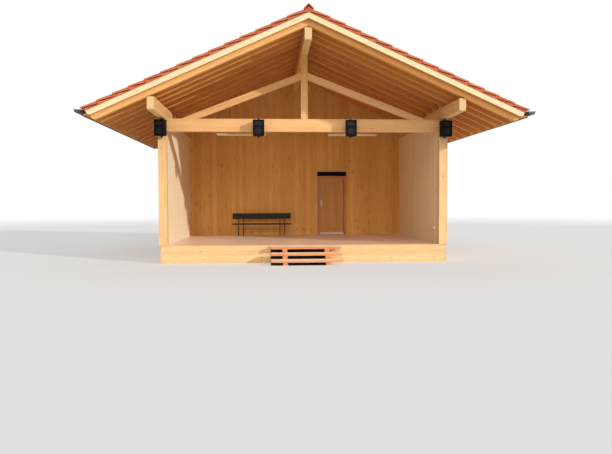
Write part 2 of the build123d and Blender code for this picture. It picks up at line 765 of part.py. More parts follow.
def step_stringers():
    """Stepped bearers cut to carry each tread."""
    outline = [(step_edges(0)[1], 0)]
    for step in range(STEP_COUNT):
        front, rear, top = step_edges(step)
        last = step == STEP_COUNT - 1
        end = front + STRINGER_SETBACK if last else front
        outline += [(rear, top - TREAD_THICKNESS), (end, top - TREAD_THICKNESS)]
    outline.append((end, 0))
    half = STRINGER_WIDTH / 2
    middles = [STEP_CENTRE - STRINGER_SPACING / 2, STEP_CENTRE + STRINGER_SPACING / 2]
    return group([along_x(outline, x - half, x + half) for x in middles])


# Loudspeakers

def speaker(x, turn):
    """Cabinet that narrows to the back, turned about its pivot."""
    front, back = SPEAKER_WIDTH / 2, SPEAKER_BACK_WIDTH / 2
    depth, height = SPEAKER_DEPTH / 2, SPEAKER_HEIGHT
    plan = make_face(Polyline((-front, -depth), (front, -depth), (back, depth),
                              (-back, depth), close=True))
    cabinet = Pos(0, 0, -height / 2) * extrude(plan, amount=height)
    cabinet = fillet(cabinet.edges().filter_by(Axis.Z), SPEAKER_ROUND)
    return Pos(x, Y_WALL - SPEAKER_PIVOT, Z_SPEAKER) * Rot(0, 0, turn) * cabinet


def speakers():
    return group([speaker(x, turn) for x, turn in SPEAKER_PLACES])


def speaker_yoke(x):
    """Strap bracket on the beam that holds a cabinet at its top and bottom pivots."""
    half = YOKE_WIDTH / 2
    reach = YOKE_REACH + YOKE_THICKNESS
    front = Y_WALL - SPEAKER_PIVOT - half
    yoke = block(x - half, x + half, Y_WALL - YOKE_THICKNESS, Y_WALL,
                 Z_SPEAKER - reach, Z_SPEAKER + reach)
    for side in (-1, 1):
        middle = Z_SPEAKER + side * (reach - YOKE_THICKNESS / 2)
        yoke += block(x - half, x + half, front, Y_WALL,
                      middle - YOKE_THICKNESS / 2, middle + YOKE_THICKNESS / 2)
        pivot = Z_SPEAKER + side * (YOKE_REACH - YOKE_GAP / 2)
        yoke += Pos(x, Y_WALL - SPEAKER_PIVOT, pivot) * Cylinder(YOKE_PIVOT_RADIUS, YOKE_GAP)
    return yoke


def speaker_yokes():
    return group([speaker_yoke(x) for x, turn in SPEAKER_PLACES])


# Lamps

def lamp_line():
    """Middle of the rafter that the lamps hang from."""
    front, rear = rafter_spans()[FRONT_BAYS + LAMP_BAYS]
    return (front + rear) / 2


def lamps():
    """Housings with slanted corners, along the stage's width."""
    top = DECK_TOP + LAMP_TOP
    bottom = top - LAMP_HEIGHT
    y0, y1 = lamp_line() - LAMP_WIDTH / 2, lamp_line() + LAMP_WIDTH / 2
    outline = [(y0, top - LAMP_SLANT), (y0, bottom + LAMP_SLANT), (y0 + LAMP_SLANT, bottom),
               (y1 - LAMP_SLANT, bottom), (y1, bottom + LAMP_SLANT), (y1, top - LAMP_SLANT),
               (y1 - LAMP_SLANT, top), (y0 + LAMP_SLANT, top)]
    return group([along_x(outline, x - LAMP_LENGTH / 2, x + LAMP_LENGTH / 2)
                  for x in LAMP_CENTRES])


def lamp_rods():
    """Rods from each lamp up to the rafter over it."""
    reach = LAMP_LENGTH / 2 - LAMP_ROD_INSET
    bottom = DECK_TOP + LAMP_TOP
    rods = []
    for x in [centre + side * reach for centre in LAMP_CENTRES for side in (-1, 1)]:
        top = under(abs(x) + LAMP_ROD_RADIUS)
        rods.append(Pos(x, lamp_line(), (bottom + top) / 2) * Cylinder(
            LAMP_ROD_RADIUS, top - bottom))
    return group(rods)


# Bench

def bench_face():
    """Front face of the bench's back board."""
    return Y_PARTITION - BENCH_SETBACK


def bench_boards():
    x0 = BENCH_CENTRE - BENCH_LENGTH / 2
    x1 = x0 + BENCH_LENGTH
    face = bench_face()
    front = face - BENCH_SEAT_DEPTH
    seam = front + BENCH_SEAT_NARROW
    top = DECK_TOP + BENCH_SEAT_TOP
    bottom = DECK_TOP + BENCH_BACK_BOTTOM
    return group([
        block(x0, x1, front, seam, top - BENCH_SEAT_BOARD, top),
        block(x0, x1, seam + BENCH_SEAT_SEAM, face - BENCH_SEAT_GAP, top - BENCH_SEAT_BOARD, top),
        block(x0, x1, face, face + BENCH_BACK_BOARD, bottom, bottom + BENCH_BACK_HEIGHT),
    ])


def bench_frame(x):
    """One tube from floor to floor: front leg, seat rail, loop behind the back board, and back."""
    radius = BENCH_TUBE_RADIUS
    left, right = x - BENCH_TUBE_PAIR / 2, x + BENCH_TUBE_PAIR / 2
    rail = DECK_TOP + BENCH_SEAT_TOP - BENCH_SEAT_BOARD - radius
    stay = bench_face() + BENCH_BACK_BOARD + radius
    foot = bench_face() - BENCH_SEAT_DEPTH + BENCH_FRONT_LEG
    top = DECK_TOP + BENCH_BACK_BOTTOM + BENCH_BACK_HEIGHT - BENCH_LOOP_DROP - radius
    path = FilletPolyline(
        (left, foot, DECK_TOP), (left, foot, rail), (left, stay, rail), (left, stay, top),
        (right, stay, top), (right, stay, rail), (right, foot, rail), (right, foot, DECK_TOP),
        radius=BENCH_TUBE_BEND)
    tube = sweep(Plane(origin=path @ 0, z_dir=path % 0) * Circle(radius), path=path)
    leg_y = bench_face() - BENCH_REAR_LEG
    legs = [Pos(side, leg_y, (DECK_TOP + rail) / 2) * Cylinder(radius, rail - DECK_TOP)
            for side in (left, right)]
    return tube + legs


def bench_frames():
    half = BENCH_FRAME_SPACING / 2
    return group([bench_frame(BENCH_CENTRE - half), bench_frame(BENCH_CENTRE + half)])


# Socket

def socket_box():
    depth, width, height = SOCKET_SIZE
    return Pos(X_LINING - depth / 2, Y_WALL + SOCKET_BACK, DECK_TOP + SOCKET_HEIGHT) * Box(
        depth, width, height)


def sub_parts():
    """Every node of the stage by its name."""
    wall = wall_core()
    rafters = rafters_right()
    boards = roof_boards_right()
    barges = barge_boards_right()
    tiles = tiles_right()
    return {
        "plinth_ends": plinth_ends(),
        "plinth_sides": plinth_sides(),
        "floor_bearers": floor_bearers(),
        "floor_joists": floor_joists(),
        "stage_floor": stage_floor(),
        "front_posts": front_posts(),
        "left_wall": left_of(wall),
        "right_wall": wall,
        "side_linings": side_linings(),
        "side_boards": side_boards(),
        "back_wall": back_wall(),
        "back_boards": back_boards(),
        "partition_left": partition_left(),
        "partition_right": partition_right(),
        "partition_over_door": partition_over_door(),
        "partition_gable": partition_gable(),
        "door_frame": door_frame(),
        "door_leaf": door_leaf(),
        "door_weather_bar": door_weather_bar(),
        "door_handle": door_handle(),
        "hinge_frame_halves": hinge_frame_halves(),
        "hinge_leaf_halves": hinge_leaf_halves(),
        "transom_pane": transom_pane(),
        "tie_beam": tie_beam(),
        "king_post": king_post(),
        "struts": struts(),
        "ridge_purlin": ridge_purlin(),
        "eaves_purlins": eaves_purlins(),
        "rafters_left": left_of(rafters),
        "rafters_right": rafters,
        "rafter_blocks": rafter_blocks(),
        "roof_boards_left": left_of(boards),
        "roof_boards_right": boards,
        "roof_battens": roof_battens(),
        "eaves_boards": eaves_boards(),
        "barge_boards_left": left_of(barges),
        "barge_boards_right": barges,
        "roof_tiles_left": left_of(tiles),
        "roof_tiles_right": tiles,
        "ridge_cap": ridge_cap(),
        "gutters": gutters(),
        "gutter_brackets": gutter_brackets(),
        "step_treads": step_treads(),
        "step_stringers": step_stringers(),
        "speakers": speakers(),
        "speaker_yokes": speaker_yokes(),
        "lamps": lamps(),
        "lamp_rods": lamp_rods(),
        "bench_boards": bench_boards(),
        "bench_frames": bench_frames(),
        "socket_box": socket_box(),
    }


os.makedirs("parts", exist_ok=True)
for name, shape in sub_parts().items():
    export_step(shape, f"parts/{name}.step")
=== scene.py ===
"""Looks of the covered wooden stage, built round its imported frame.

Metres, in the frame's own axes: +X to the right and +Y towards the back as seen from the front,
+Z up, with the origin on the ground in the middle of the roof's outline.
"""

from __future__ import annotations

import json
import logging
import math
from dataclasses import dataclass, field
from enum import Enum
from typing import Any, Sequence

import bpy
import numpy as np
from mathutils import Matrix

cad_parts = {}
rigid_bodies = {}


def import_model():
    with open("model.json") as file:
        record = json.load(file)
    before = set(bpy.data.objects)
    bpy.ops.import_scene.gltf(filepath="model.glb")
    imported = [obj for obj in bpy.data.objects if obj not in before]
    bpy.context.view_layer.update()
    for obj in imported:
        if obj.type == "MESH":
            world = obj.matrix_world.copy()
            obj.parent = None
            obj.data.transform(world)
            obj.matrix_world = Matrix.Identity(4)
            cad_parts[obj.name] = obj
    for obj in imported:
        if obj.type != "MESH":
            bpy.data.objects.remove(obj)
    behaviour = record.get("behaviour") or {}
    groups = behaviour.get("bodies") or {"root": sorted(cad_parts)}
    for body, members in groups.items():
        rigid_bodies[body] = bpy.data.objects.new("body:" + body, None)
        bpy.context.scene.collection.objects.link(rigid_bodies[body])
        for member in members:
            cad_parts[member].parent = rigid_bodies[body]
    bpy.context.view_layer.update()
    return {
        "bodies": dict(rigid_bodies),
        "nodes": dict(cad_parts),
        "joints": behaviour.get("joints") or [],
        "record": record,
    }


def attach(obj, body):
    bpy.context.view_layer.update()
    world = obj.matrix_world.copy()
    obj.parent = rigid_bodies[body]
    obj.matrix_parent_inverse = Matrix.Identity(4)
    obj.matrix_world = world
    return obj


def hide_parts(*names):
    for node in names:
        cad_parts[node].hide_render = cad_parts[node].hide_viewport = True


LOG = logging.getLogger("covered_stage")
BUILDING = "building"
DOOR = "door"
MM = 0.001
GRAIN_LENGTH = 40.0  # metres of wood, of which each board shows its own part
SHARP_TURN = math.radians(35)
SMOOTH_BELOW = math.radians(32)


# Setting out


@dataclass(frozen=True)
class SettingOut:
    """The sizes of the carpenter's drawing that several sub-assemblies share, in metres."""

    slope: float = math.radians(24.1)
    deck: float = 0.515
    cladding_x: float = 4.200
    post_x: float = 4.165
    lining_x: float = 3.955
    core_x: float = 3.980
    purlin_x: float = 3.985
    plinth_x: float = 4.170
    wall_y: float = -3.470
    back_y: float = 4.930
    partition_y: float = 2.620
    partition_rear_y: float = 2.740
    verge_y: float = 5.630
    beam_z: float = 3.800
    plate_z: float = 4.165
    eaves_purlin_z: float = 4.500
    ridge_x: float = 0.095
    ridge_seat: float = 0.037
    birdsmouth: float = 0.040
    ridge_purlin_height: float = 0.340
    timber_depth: float = 0.200
    rafter_height: float = 0.180
    board_height: float = 0.204
    tile_height: float = 0.324
    roof_edge: float = 5.735

    @property
    def ridge_under(self) -> float:
        """Height of the rafters' underside at the ridge line."""
        return self.eaves_purlin_z + (self.post_x - self.birdsmouth) * math.tan(self.slope)

    @property
    def ridge_top(self) -> float:
        """Height of the ridge purlin's upper face."""
        return self.ridge_under - (self.ridge_x - self.ridge_seat) * math.tan(self.slope)

    @property
    def ridge_bottom(self) -> float:
        """Height of the ridge purlin's lower face."""
        return self.ridge_top - self.ridge_purlin_height

    def under(self, x: float) -> float:
        """Height of the rafters' underside at the distance x from the ridge line."""
        return self.ridge_under - x * math.tan(self.slope)

    def at_x(self, x: float, height: float) -> tuple[float, float]:
        """Point plumb over x on the layer that lies height above the rafters' underside."""
        return x, self.under(x) + height / math.cos(self.slope)

    def on_slope(self, run: float, height: float) -> tuple[float, float]:
        """Point square above the rafters' underside at the run from the ridge line."""
        return run + height * math.sin(self.slope), self.under(run) + height * math.cos(self.slope)

    def rafter_spans(self) -> list[tuple[float, float]]:
        """Front and rear face of each rafter, from the front verge to the rear one."""
        wide, narrow = 0.160, 0.120
        first, over_wall = -self.verge_y + 0.150, self.wall_y - 0.080
        last = self.verge_y - 0.150 - wide
        fronts = np.concatenate([np.linspace(first, over_wall, 4),
                                 np.linspace(over_wall, last, 12)[1:]])
        widths = np.full(len(fronts), narrow)
        widths[[0, -1]] = wide
        return list(zip(fronts.tolist(), (fronts + widths).tolist()))


SITE = SettingOut()


# Colours and shaders


def linear(code: str) -> tuple[float, float, float, float]:
    """Linear colour of an sRGB hex value: below 0.04045 a channel is divided by 12.92, and above
    it (channel + 0.055) / 1.055 is raised to the power 2.4.

    Args:
        code: The colour as "#RRGGBB".

    Returns:
        Red, green, blue and an alpha of 1.
    """
    channels = np.array([int(code[i:i + 2], 16) / 255 for i in (1, 3, 5)])
    values = np.where(channels <= 0.04045, channels / 12.92, ((channels + 0.055) / 1.055) ** 2.4)
    return (*values.tolist(), 1.0)


ADD, SUBTRACT = {"operation": "ADD"}, {"operation": "SUBTRACT"}
MULTIPLY, DIVIDE = {"operation": "MULTIPLY"}, {"operation": "DIVIDE"}
MAXIMUM, SMOOTH = {"operation": "MAXIMUM"}, {"interpolation_type": "SMOOTHSTEP"}
COLOURS = {"data_type": "RGBA"}


class ShaderTree:
    """The node tree of one material or world while it is put together."""

    def __init__(self, name: str, world: bool = False) -> None:
        """Starts an empty tree in a new material, or in a new world, of that name."""
        self.owner = (bpy.data.worlds if world else bpy.data.materials).new(name)
        self.owner.use_nodes = True
        self.tree = self.owner.node_tree
        self.tree.nodes.clear()

    def add(self, kind: str, settings: dict[str, Any] | None = None, *values: Any,
            take: str | None = None, **named: Any) -> Any:
        """Adds a node with its settings and links.

        Args:
            kind: The node's type without "ShaderNode".
            settings: Values of the node's own properties.
            *values: Constants or other nodes' outputs for the inputs in use, in their order.
            take: Name of the output to return, or None for the first one in use.
            **named: The same for inputs by their names, with _ for a space.

        Returns:
            The output socket, or None where the node has none.
        """
        node = self.tree.nodes.new("ShaderNode" + kind)
        for key, value in (settings or {}).items():
            setattr(node, key, value)
        inputs = [socket for socket in node.inputs if socket.enabled]
        names = {socket.name.replace(" ", "_"): socket for socket in inputs}
        for socket, value in [*zip(inputs, values), *((names[key], named[key]) for key in named)]:
            if isinstance(value, bpy.types.NodeSocket):
                self.tree.links.new(value, socket)
            else:
                socket.default_value = value
        outputs = [s for s in node.outputs if s.enabled and take in (None, s.name)]
        return outputs[0] if outputs else None

    def finish(self, surface: Any) -> Any:
        """Ends the tree with its surface and gives the material or world."""
        world = isinstance(self.owner, bpy.types.World)
        self.add("OutputWorld" if world else "OutputMaterial", None, surface)
        return self.owner

    def skin(self, height: Any, strength: float, relief_mm: float,
             **sockets: Any) -> bpy.types.Material:
        """Ends the tree with a surface whose height pattern stands out by the relief.

        Args:
            height: The pattern.
            strength: Share of the relief that shades.
            relief_mm: Height of the pattern.
            **sockets: Inputs of the surface by name.

        Returns:
            The material.
        """
        bump = self.add("Bump", None, Strength=strength, Distance=relief_mm * MM, Height=height)
        return self.finish(self.add("BsdfPrincipled", None, Normal=bump, **sockets))


class Reads(Enum):
    """Where a finish takes its coordinates from."""

    GRAIN = "the piece's own grain map"
    OBJECT_X = "object coordinates with the grain along X"
    OBJECT_Y = "object coordinates with the grain along Y"


@dataclass(frozen=True)
class Timber:
    """Planed softwood: rings across the board, knots and a tone that changes from board to board.

    Rings and knots are drawn coarser than the real ones, of 2 to 4 mm and 10 to 25 mm, because
    those wouldn't show across a stage.
    """

    name: str
    pale: str
    deep: str
    late: str
    knot: str = "#96602F"
    ring_mm: float = 14.0
    knot_mm: float = 26.0
    knot_share: float = 0.1
    knot_spacing_mm: tuple[float, float] = (420.0, 170.0)
    lamella_mm: float = 0.0
    line_strength: float = 0.45
    roughness: float = 0.62
    wear: float = 0.12
    relief_mm: float = 0.5
    reads: Reads = Reads.GRAIN

    def coordinates(self, shade: ShaderTree) -> tuple[Any, Any]:
        """Position along and across the grain, in metres, as one vector, and the board's tone."""
        if self.reads is Reads.GRAIN:
            place = shade.add("UVMap", {"uv_map": "grain"})
            return place, shade.add("Attribute", {"attribute_name": "tone"}, take="Fac")
        split = shade.add("SeparateXYZ", None, shade.add("TexCoord", take="Object")).node.outputs
        along, other = ("X", "Y") if self.reads is Reads.OBJECT_X else ("Y", "X")
        across = shade.add("Math", ADD, split[other], split["Z"])
        place = shade.add("CombineXYZ", None, split[along], across)
        return place, shade.add("TexNoise", None, place, Scale=1.1)

    def layers(self, shade: ShaderTree, place: Any, tone: Any, lines: Any) -> tuple[Any, Any]:
        """Tone and dark lines with the glued layers drawn in: each layer's own tone, and a thin
        line at its edges."""
        add = shade.add
        split = add("SeparateXYZ", None, place, take="Y")
        count = add("Math", DIVIDE, split, self.lamella_mm * MM)
        floor = add("Math", {"operation": "FLOOR"}, count)
        layer = add("TexWhiteNoise", {"noise_dimensions": "1D"}, floor)
        tone = add("Math", ADD, add("Math", MULTIPLY, tone, 0.45),
                   add("Math", MULTIPLY, layer, 0.55))
        share = add("Math", {"operation": "FRACT"}, count)
        part = add("Math", {"operation": "ABSOLUTE"}, add("Math", SUBTRACT, share, 0.5))
        return tone, add("Math", MAXIMUM, lines, add("MapRange", SMOOTH, part, 0.47, 0.5))

    def material(self) -> bpy.types.Material:
        """The finish as a material."""
        shade = ShaderTree(self.name)
        add = shade.add
        place, tone = self.coordinates(shade)
        # Rings bow slowly along the board, which draws the long arches of flat-sawn wood.
        slow = add("VectorMath", MULTIPLY, place, (0.9, 5.0, 1.0))
        bow = add("CombineXYZ", None, Y=add("TexNoise", None, slow, Scale=1.0, Detail=1.0))
        bowed = add("VectorMath", {"operation": "MULTIPLY_ADD"}, bow, (0.0, 0.10, 0.0), place)
        across = 1 / (self.ring_mm * MM)
        fast = add("VectorMath", MULTIPLY, bowed, (across / 55, across, 1.0))
        rings = add("TexNoise", None, fast, Scale=1.0, Detail=3.0, Roughness=0.62)
        lines = add("MapRange", SMOOTH, rings, 0.44, 0.66)
        # Knots stand one to a cell, and only some of the cells have one.
        cells = (1 / (self.knot_spacing_mm[0] * MM), 1 / (self.knot_spacing_mm[1] * MM), 1.0)
        near = add("TexVoronoi", {"voronoi_dimensions": "2D"},
                   add("VectorMath", MULTIPLY, place, cells), Scale=1.0)
        draw = add("SeparateColor", None, near.node.outputs["Color"])
        chosen = add("MapRange", SMOOTH, draw, 1 - self.knot_share, 1.02 - self.knot_share)
        size = self.knot_mm / self.knot_spacing_mm[1]
        dot = add("MapRange", SMOOTH, near, size * 0.1, size, 0.5, 0.0)
        spot = add("Math", MULTIPLY, dot, chosen)
        if self.lamella_mm:
            tone, lines = self.layers(shade, place, tone, lines)
        late = linear(self.late)
        colour = add("Mix", COLOURS, tone, linear(self.pale), linear(self.deep))
        drawn = add("Math", MULTIPLY, lines, self.line_strength)
        colour = add("Mix", COLOURS, drawn, colour, late)
        colour = add("Mix", COLOURS, spot, colour, linear(self.knot))
        broad = add("VectorMath", MULTIPLY, place, (0.8, 2.5, 1.0))
        patches = add("TexNoise", None, broad, Scale=1.0, Detail=4.0)
        worn = add("MapRange", SMOOTH, patches, 0.35, 0.75, 0.0, self.wear)
        colour = add("Mix", COLOURS, worn, colour, late)
        matt = add("MapRange", SMOOTH, rings, 0.3, 0.7, self.roughness - 0.06,
                   self.roughness + 0.08)
        return shade.skin(rings, 0.6, self.relief_mm, Base_Color=colour, Roughness=matt)


@dataclass(frozen=True)
class EndGrain:
    """Sawn end of a timber: rings round a heart outside the section, and fine drying cracks."""

    name: str
    pale: str
    late: str
    ring_mm: float = 9.0

    def material(self) -> bpy.types.Material:
        """The finish as a material."""
        shade = ShaderTree(self.name)
        add = shade.add
        place = add("TexCoord", take="Object")
        rings = add("TexWave", {"wave_type": "RINGS", "rings_direction": "Y"}, place, take="Fac",
                    Scale=0.16 / (self.ring_mm * MM) / math.tau * 2, Distortion=2.5, Detail=2.0,
                    Detail_Scale=1.5)
        cracks = add("TexNoise", None, place, Scale=60.0, Detail=3.0)
        late = linear(self.late)
        colour = add("Mix", COLOURS, add("Math", MULTIPLY, rings, 0.35), linear(self.pale), late)
        dark = add("MapRange", SMOOTH, cracks, 0.62, 0.72, 0.0, 0.4)
        colour = add("Mix", COLOURS, dark, colour, late)
        return shade.skin(cracks, 0.5, 0.6, Base_Color=colour, Roughness=0.78)


@dataclass(frozen=True)
class FiredClay:
    """Fired clay roof tile: each tile has its own red, with pale bloom and fine sand in it."""

    name: str
    pale: str
    deep: str
    bloom: str
    grit_mm: float = 6.0

    def material(self) -> bpy.types.Material:
        """The finish as a material."""
        shade = ShaderTree(self.name)
        add = shade.add
        place = add("TexCoord", take="Object")
        tone = add("Attribute", {"attribute_name": "tone"}, take="Fac")
        # Grit is drawn at several times its real size, so that it shows from some metres away.
        grit = add("TexNoise", None, place, Scale=0.5 / (self.grit_mm * MM), Detail=4.0,
                   Roughness=0.7)
        cloud = add("TexNoise", None, place, Scale=5.0, Detail=3.0)
        deep = linear(self.deep)
        colour = add("Mix", COLOURS, tone, linear(self.pale), deep)
        pale = add("MapRange", SMOOTH, cloud, 0.48, 0.78, 0.0, 0.45)
        colour = add("Mix", COLOURS, pale, colour, linear(self.bloom))
        colour = add("Mix", COLOURS, add("MapRange", SMOOTH, grit, 0.55, 0.75, 0.0, 0.35), colour,
                     deep)
        matt = add("MapRange", SMOOTH, grit, 0.3, 0.7, 0.66, 0.85)
        return shade.skin(grit, 0.5, 1.2, Base_Color=colour, Roughness=matt)


@dataclass(frozen=True)
class Metal:
    """Sheet or bar metal: its colour clouds a little, and brushing draws it out along one axis."""

    name: str
    bright: str
    dull: str
    metallic: float
    roughness: float
    stretch: tuple[float, float, float] = (14.0, 14.0, 14.0)
    relief_mm: float = 0.15
    coat: float = 0.0

    def material(self) -> bpy.types.Material:
        """The finish as a material."""
        shade = ShaderTree(self.name)
        add = shade.add
        place = add("VectorMath", MULTIPLY, add("TexCoord", take="Object"), self.stretch)
        cloud = add("TexNoise", None, place, Scale=1.0, Detail=4.0, Roughness=0.6)
        fine = add("TexNoise", None, place, Scale=18.0, Detail=2.0)
        clouded = add("MapRange", SMOOTH, cloud, 0.35, 0.7)
        colour = add("Mix", COLOURS, clouded, linear(self.bright), linear(self.dull))
        matt = add("MapRange", SMOOTH, cloud, 0.3, 0.7, self.roughness - 0.07,
                   self.roughness + 0.1)
        return shade.skin(fine, 0.4, self.relief_mm, Base_Color=colour, Roughness=matt,
                          Metallic=self.metallic, Coat_Weight=self.coat, Coat_Roughness=0.25)


@dataclass(frozen=True)
class Moulded:
    """Moulded or painted plastic: an even colour with a fine grained skin and light dust."""

    name: str
    colour: str
    dust: str
    roughness: float = 0.5
    grain_mm: float = 1.6
    relief_mm: float = 0.2
    dusting: float = 0.25
    specular: float = 0.5

    def material(self) -> bpy.types.Material:
        """The finish as a material."""
        shade = ShaderTree(self.name)
        add = shade.add
        place = add("TexCoord", take="Object")
        skin = add("TexVoronoi", {"feature": "SMOOTH_F1"}, place, Scale=1 / (self.grain_mm * MM))
        dust = add("TexNoise", None, place, Scale=7.0, Detail=5.0)
        dusty = add("MapRange", SMOOTH, dust, 0.42, 0.75, 0.0, self.dusting)
        colour = add("Mix", COLOURS, dusty, linear(self.colour), linear(self.dust))
        matt = add("MapRange", SMOOTH, dust, 0.3, 0.7, self.roughness - 0.05,
                   self.roughness + 0.08)
        return shade.skin(skin, 0.35, self.relief_mm, Base_Color=colour, Roughness=matt,
                          Specular_IOR_Level=self.specular)


class Finishes:
    """Every finish of the stage, made once and shared by its pieces."""

    def __init__(self) -> None:
        """Makes the materials."""
        # Planed spruce boards, new and pale, with rings and dark knots that show across a stage.
        self.boards = Timber("planed_spruce_boards", "#F3CD94", "#E4B070", "#BF8244").material()
        # The lining is a paler copy of the spruce, with rings that hardly show; its paleness is
        # painted sunlight.
        self.lining = Timber("whitened_spruce_lining", "#FFEFCE", "#FCE4BA", "#EAC492",
                             line_strength=0.2, wear=0.05).material()
        # The partition and the roof boards stand in the shade; their darker, warm amber copies of
        # the spruce are painted shade.
        self.wall = Timber("planed_spruce_wall", "#F8C470", "#EAAA50", "#C07C34", "#A8642C",
                           knot_mm=46.0, knot_share=0.16).material()
        self.soffit = Timber("planed_spruce_soffit", "#E6A04C", "#D08638", "#9E5C1C").material()
        # Sawn and glued rafters show 40 mm layers; those behind the verge are as warm as the
        # boards over them, a darker copy that is painted shade under the roof, and the barge
        # boards are the palest wood of the roof.
        self.rafter = Timber("planed_spruce_rafters", "#F8BE72", "#EBA658", "#C8843E",
                             lamella_mm=40.0, knot_share=0.05).material()
        self.shaded_inner_rafter = Timber("planed_spruce_inner_rafters", "#E8A455", "#D48C40",
                                   "#A4641F", lamella_mm=40.0, knot_share=0.05).material()
        self.barge = Timber("planed_spruce_barge_boards", "#FBE0B4", "#F6D4A2", "#DDB075",
                            knot_share=0.04).material()
        # Glued laminated spruce: 40 mm layers of slightly different tone and a thin glue line.
        self.glulam = Timber("glued_laminated_spruce", "#F7D29A", "#E9B878", "#C98E4E",
                             "#8A5426", lamella_mm=40.0, knot_share=0.12).material()
        self.beam = Timber("glued_laminated_spruce_truss", "#F7C88A", "#EBAC68", "#CB8644",
                           "#8A5426", lamella_mm=40.0, knot_share=0.14).material()
        # Sawn framing that is hidden or half hidden is rougher and duller than planed boards.
        self.core = Timber("rough_spruce_framing", "#E3B67C", "#C88F54", "#A06A38",
                           ring_mm=11.0, roughness=0.75, reads=Reads.OBJECT_Y).material()
        self.core_x = Timber("rough_spruce_bearers", "#E3B67C", "#C88F54", "#A06A38",
                             ring_mm=11.0, roughness=0.75, reads=Reads.OBJECT_X).material()
        # The floor is smooth and a little pink, with a dull gleam at a low angle; its colour is
        # paler than the fir's own, painted light that brightens the whole deck.
        self.deck = Timber("planed_douglas_fir_deck", "#FFE6CE", "#F8D3B2", "#DDB08A",
                           knot_share=0.06, roughness=0.34).material()
        # Oiled larch is redder than the spruce; the treads' level faces get a much paler copy of
        # it, painted light, which reads as pale lines on their tops.
        self.larch = Timber("oiled_larch_steps", "#F4A868", "#E28648", "#B8622E", "#8A4620",
                            ring_mm=10.0, knot_share=0.06, roughness=0.52).material()
        self.lit_level_tread_faces = Timber("trodden_larch_treads", "#FFEAD4", "#F4D2B2", "#CFA07A",
                              ring_mm=10.0, knot_share=0.06, roughness=0.6).material()
        # Varnish makes the door and its frame a little darker and glossier than the wall; like the
        # wall's, their warm amber is partly painted shade.
        self.door = Timber("varnished_spruce_door", "#DE9E4E", "#CE8A3E", "#A86A2A",
                           knot_share=0.06, roughness=0.42).material()
        self.frame = Timber("varnished_spruce_door_frame", "#DC9644", "#C88236", "#9E6024",
                            knot_share=0.03, roughness=0.42).material()
        # Dark stain hides the bench's wood but for its relief.
        self.bench = Timber("stained_pine_bench", "#231F1D", "#191615", "#100E0D", "#0C0B0A",
                            roughness=0.6, relief_mm=0.8).material()
        # Sawn ends drink more light than planed faces, and show the rings.
        self.spruce_end = EndGrain("sawn_spruce_end", "#E4C48C", "#BC8C50").material()
        self.larch_end = EndGrain("sawn_larch_end", "#E2965A", "#A65C2E").material()
        self.bench_end = EndGrain("stained_pine_end", "#2E2420", "#181210").material()
        # Fired clay is matt, and each tile has a red of its own.
        self.clay = FiredClay("fired_clay_tile", "#D47446", "#B05232", "#DC8E66").material()
        # Weathered zinc is a dark grey with dull clouds and hardly a gleam.
        self.zinc = Metal("dark_weathered_zinc", "#5B5552", "#484340", 0.6, 0.5,
                          (5.0, 3.0, 5.0)).material()
        # Yellow passivated screws stand out little on new spruce.
        self.screw = Metal("yellow_passivated_screws", "#D6B070", "#BE9450", 0.4, 0.5).material()
        # Brushing draws out the gleam of the bar and of the stainless steel along their length.
        self.bar = Metal("anodised_aluminium_bar", "#EBD8C4", "#D6C2AC", 0.4, 0.5,
                         (200.0, 20.0, 20.0)).material()
        self.steel = Metal("brushed_stainless_steel", "#DAD8D5", "#C0BDB9", 0.75, 0.4,
                           (30.0, 30.0, 400.0)).material()
        # Powder coat and paint hide the metal under an even skin with a soft gleam.
        self.black_steel = Metal("powder_coated_black_steel", "#1E1F21", "#141416", 0.0, 0.5,
                                 (60.0, 60.0, 60.0), 0.3).material()
        self.tube = Metal("painted_steel_tube", "#3A2622", "#241715", 0.1, 0.42,
                          (40.0, 40.0, 40.0), 0.3, 0.2).material()
        # Textured cabinets are matt and nearly black, and the cones a shade paler. The matt black
        # sheet behind and under the steps is painted shade in the gaps between them.
        self.cabinet = Moulded("textured_abs_cabinet", "#08080B", "#0E0E12", 0.7,
                               specular=0.2).material()
        self.cone = Moulded("pressed_paper_cone", "#18181C", "#222226", 0.6, 2.4,
                            specular=0.3).material()
        self.step_shade_sheet = Moulded("black_breather_felt", "#20140C", "#2A1C12", 0.85, 3.0).material()
        # Lamps and socket are smooth mouldings with light dust; the opal cover has more gloss. The
        # lamps' warm tan is painted shade and painted orange light bounced from the wood.
        self.lamp = Moulded("moulded_cream_lamp_tray", "#DCC29A", "#BEA276", 0.5,
                            relief_mm=0.05).material()
        self.opal = Moulded("opal_acrylic_cover", "#E4CCA6", "#CEB48C", 0.28,
                            relief_mm=0.03, dusting=0.15).material()
        self.socket = Moulded("moulded_white_socket", "#E4E1D6", "#C8C3B4", 0.38,
                              relief_mm=0.04).material()
        # The room behind the pane is dark, and its low gloss keeps the pane nearly black.
        self.glass = Moulded("dark_float_glass", "#020202", "#050505", 0.3, 40.0, 0.02,
                             specular=0.08).material()


# Shapes


class Axis(Enum):
    """Direction in which an outline is carried, with the order of the outline's own axes."""

    X = (2, 0, 1)
    Y = (0, 2, 1)
    Z = (0, 1, 2)


Faces = Sequence[np.ndarray]


def directions(along: Sequence[float]) -> np.ndarray:
    """Three square unit directions, the first of them the given one.

    Args:
        along: Any direction; the second one is square to it and to a fixed slanting line.

    Returns:
        The directions as three rows.
    """
    first = np.asarray(along, float)
    first = first / np.linalg.norm(first)
    slanting = np.array([0.31, 0.27, 0.91]) if abs(first[2]) < 0.9 else np.array([0.2, 0.97, 0.1])
    if np.count_nonzero(np.abs(first) > 1e-9) == 1:
        slanting = np.roll(np.abs(first), 1)
    second = slanting - (slanting @ first) * first
    second /= np.linalg.norm(second)
    return np.array([first, second, np.cross(first, second)])


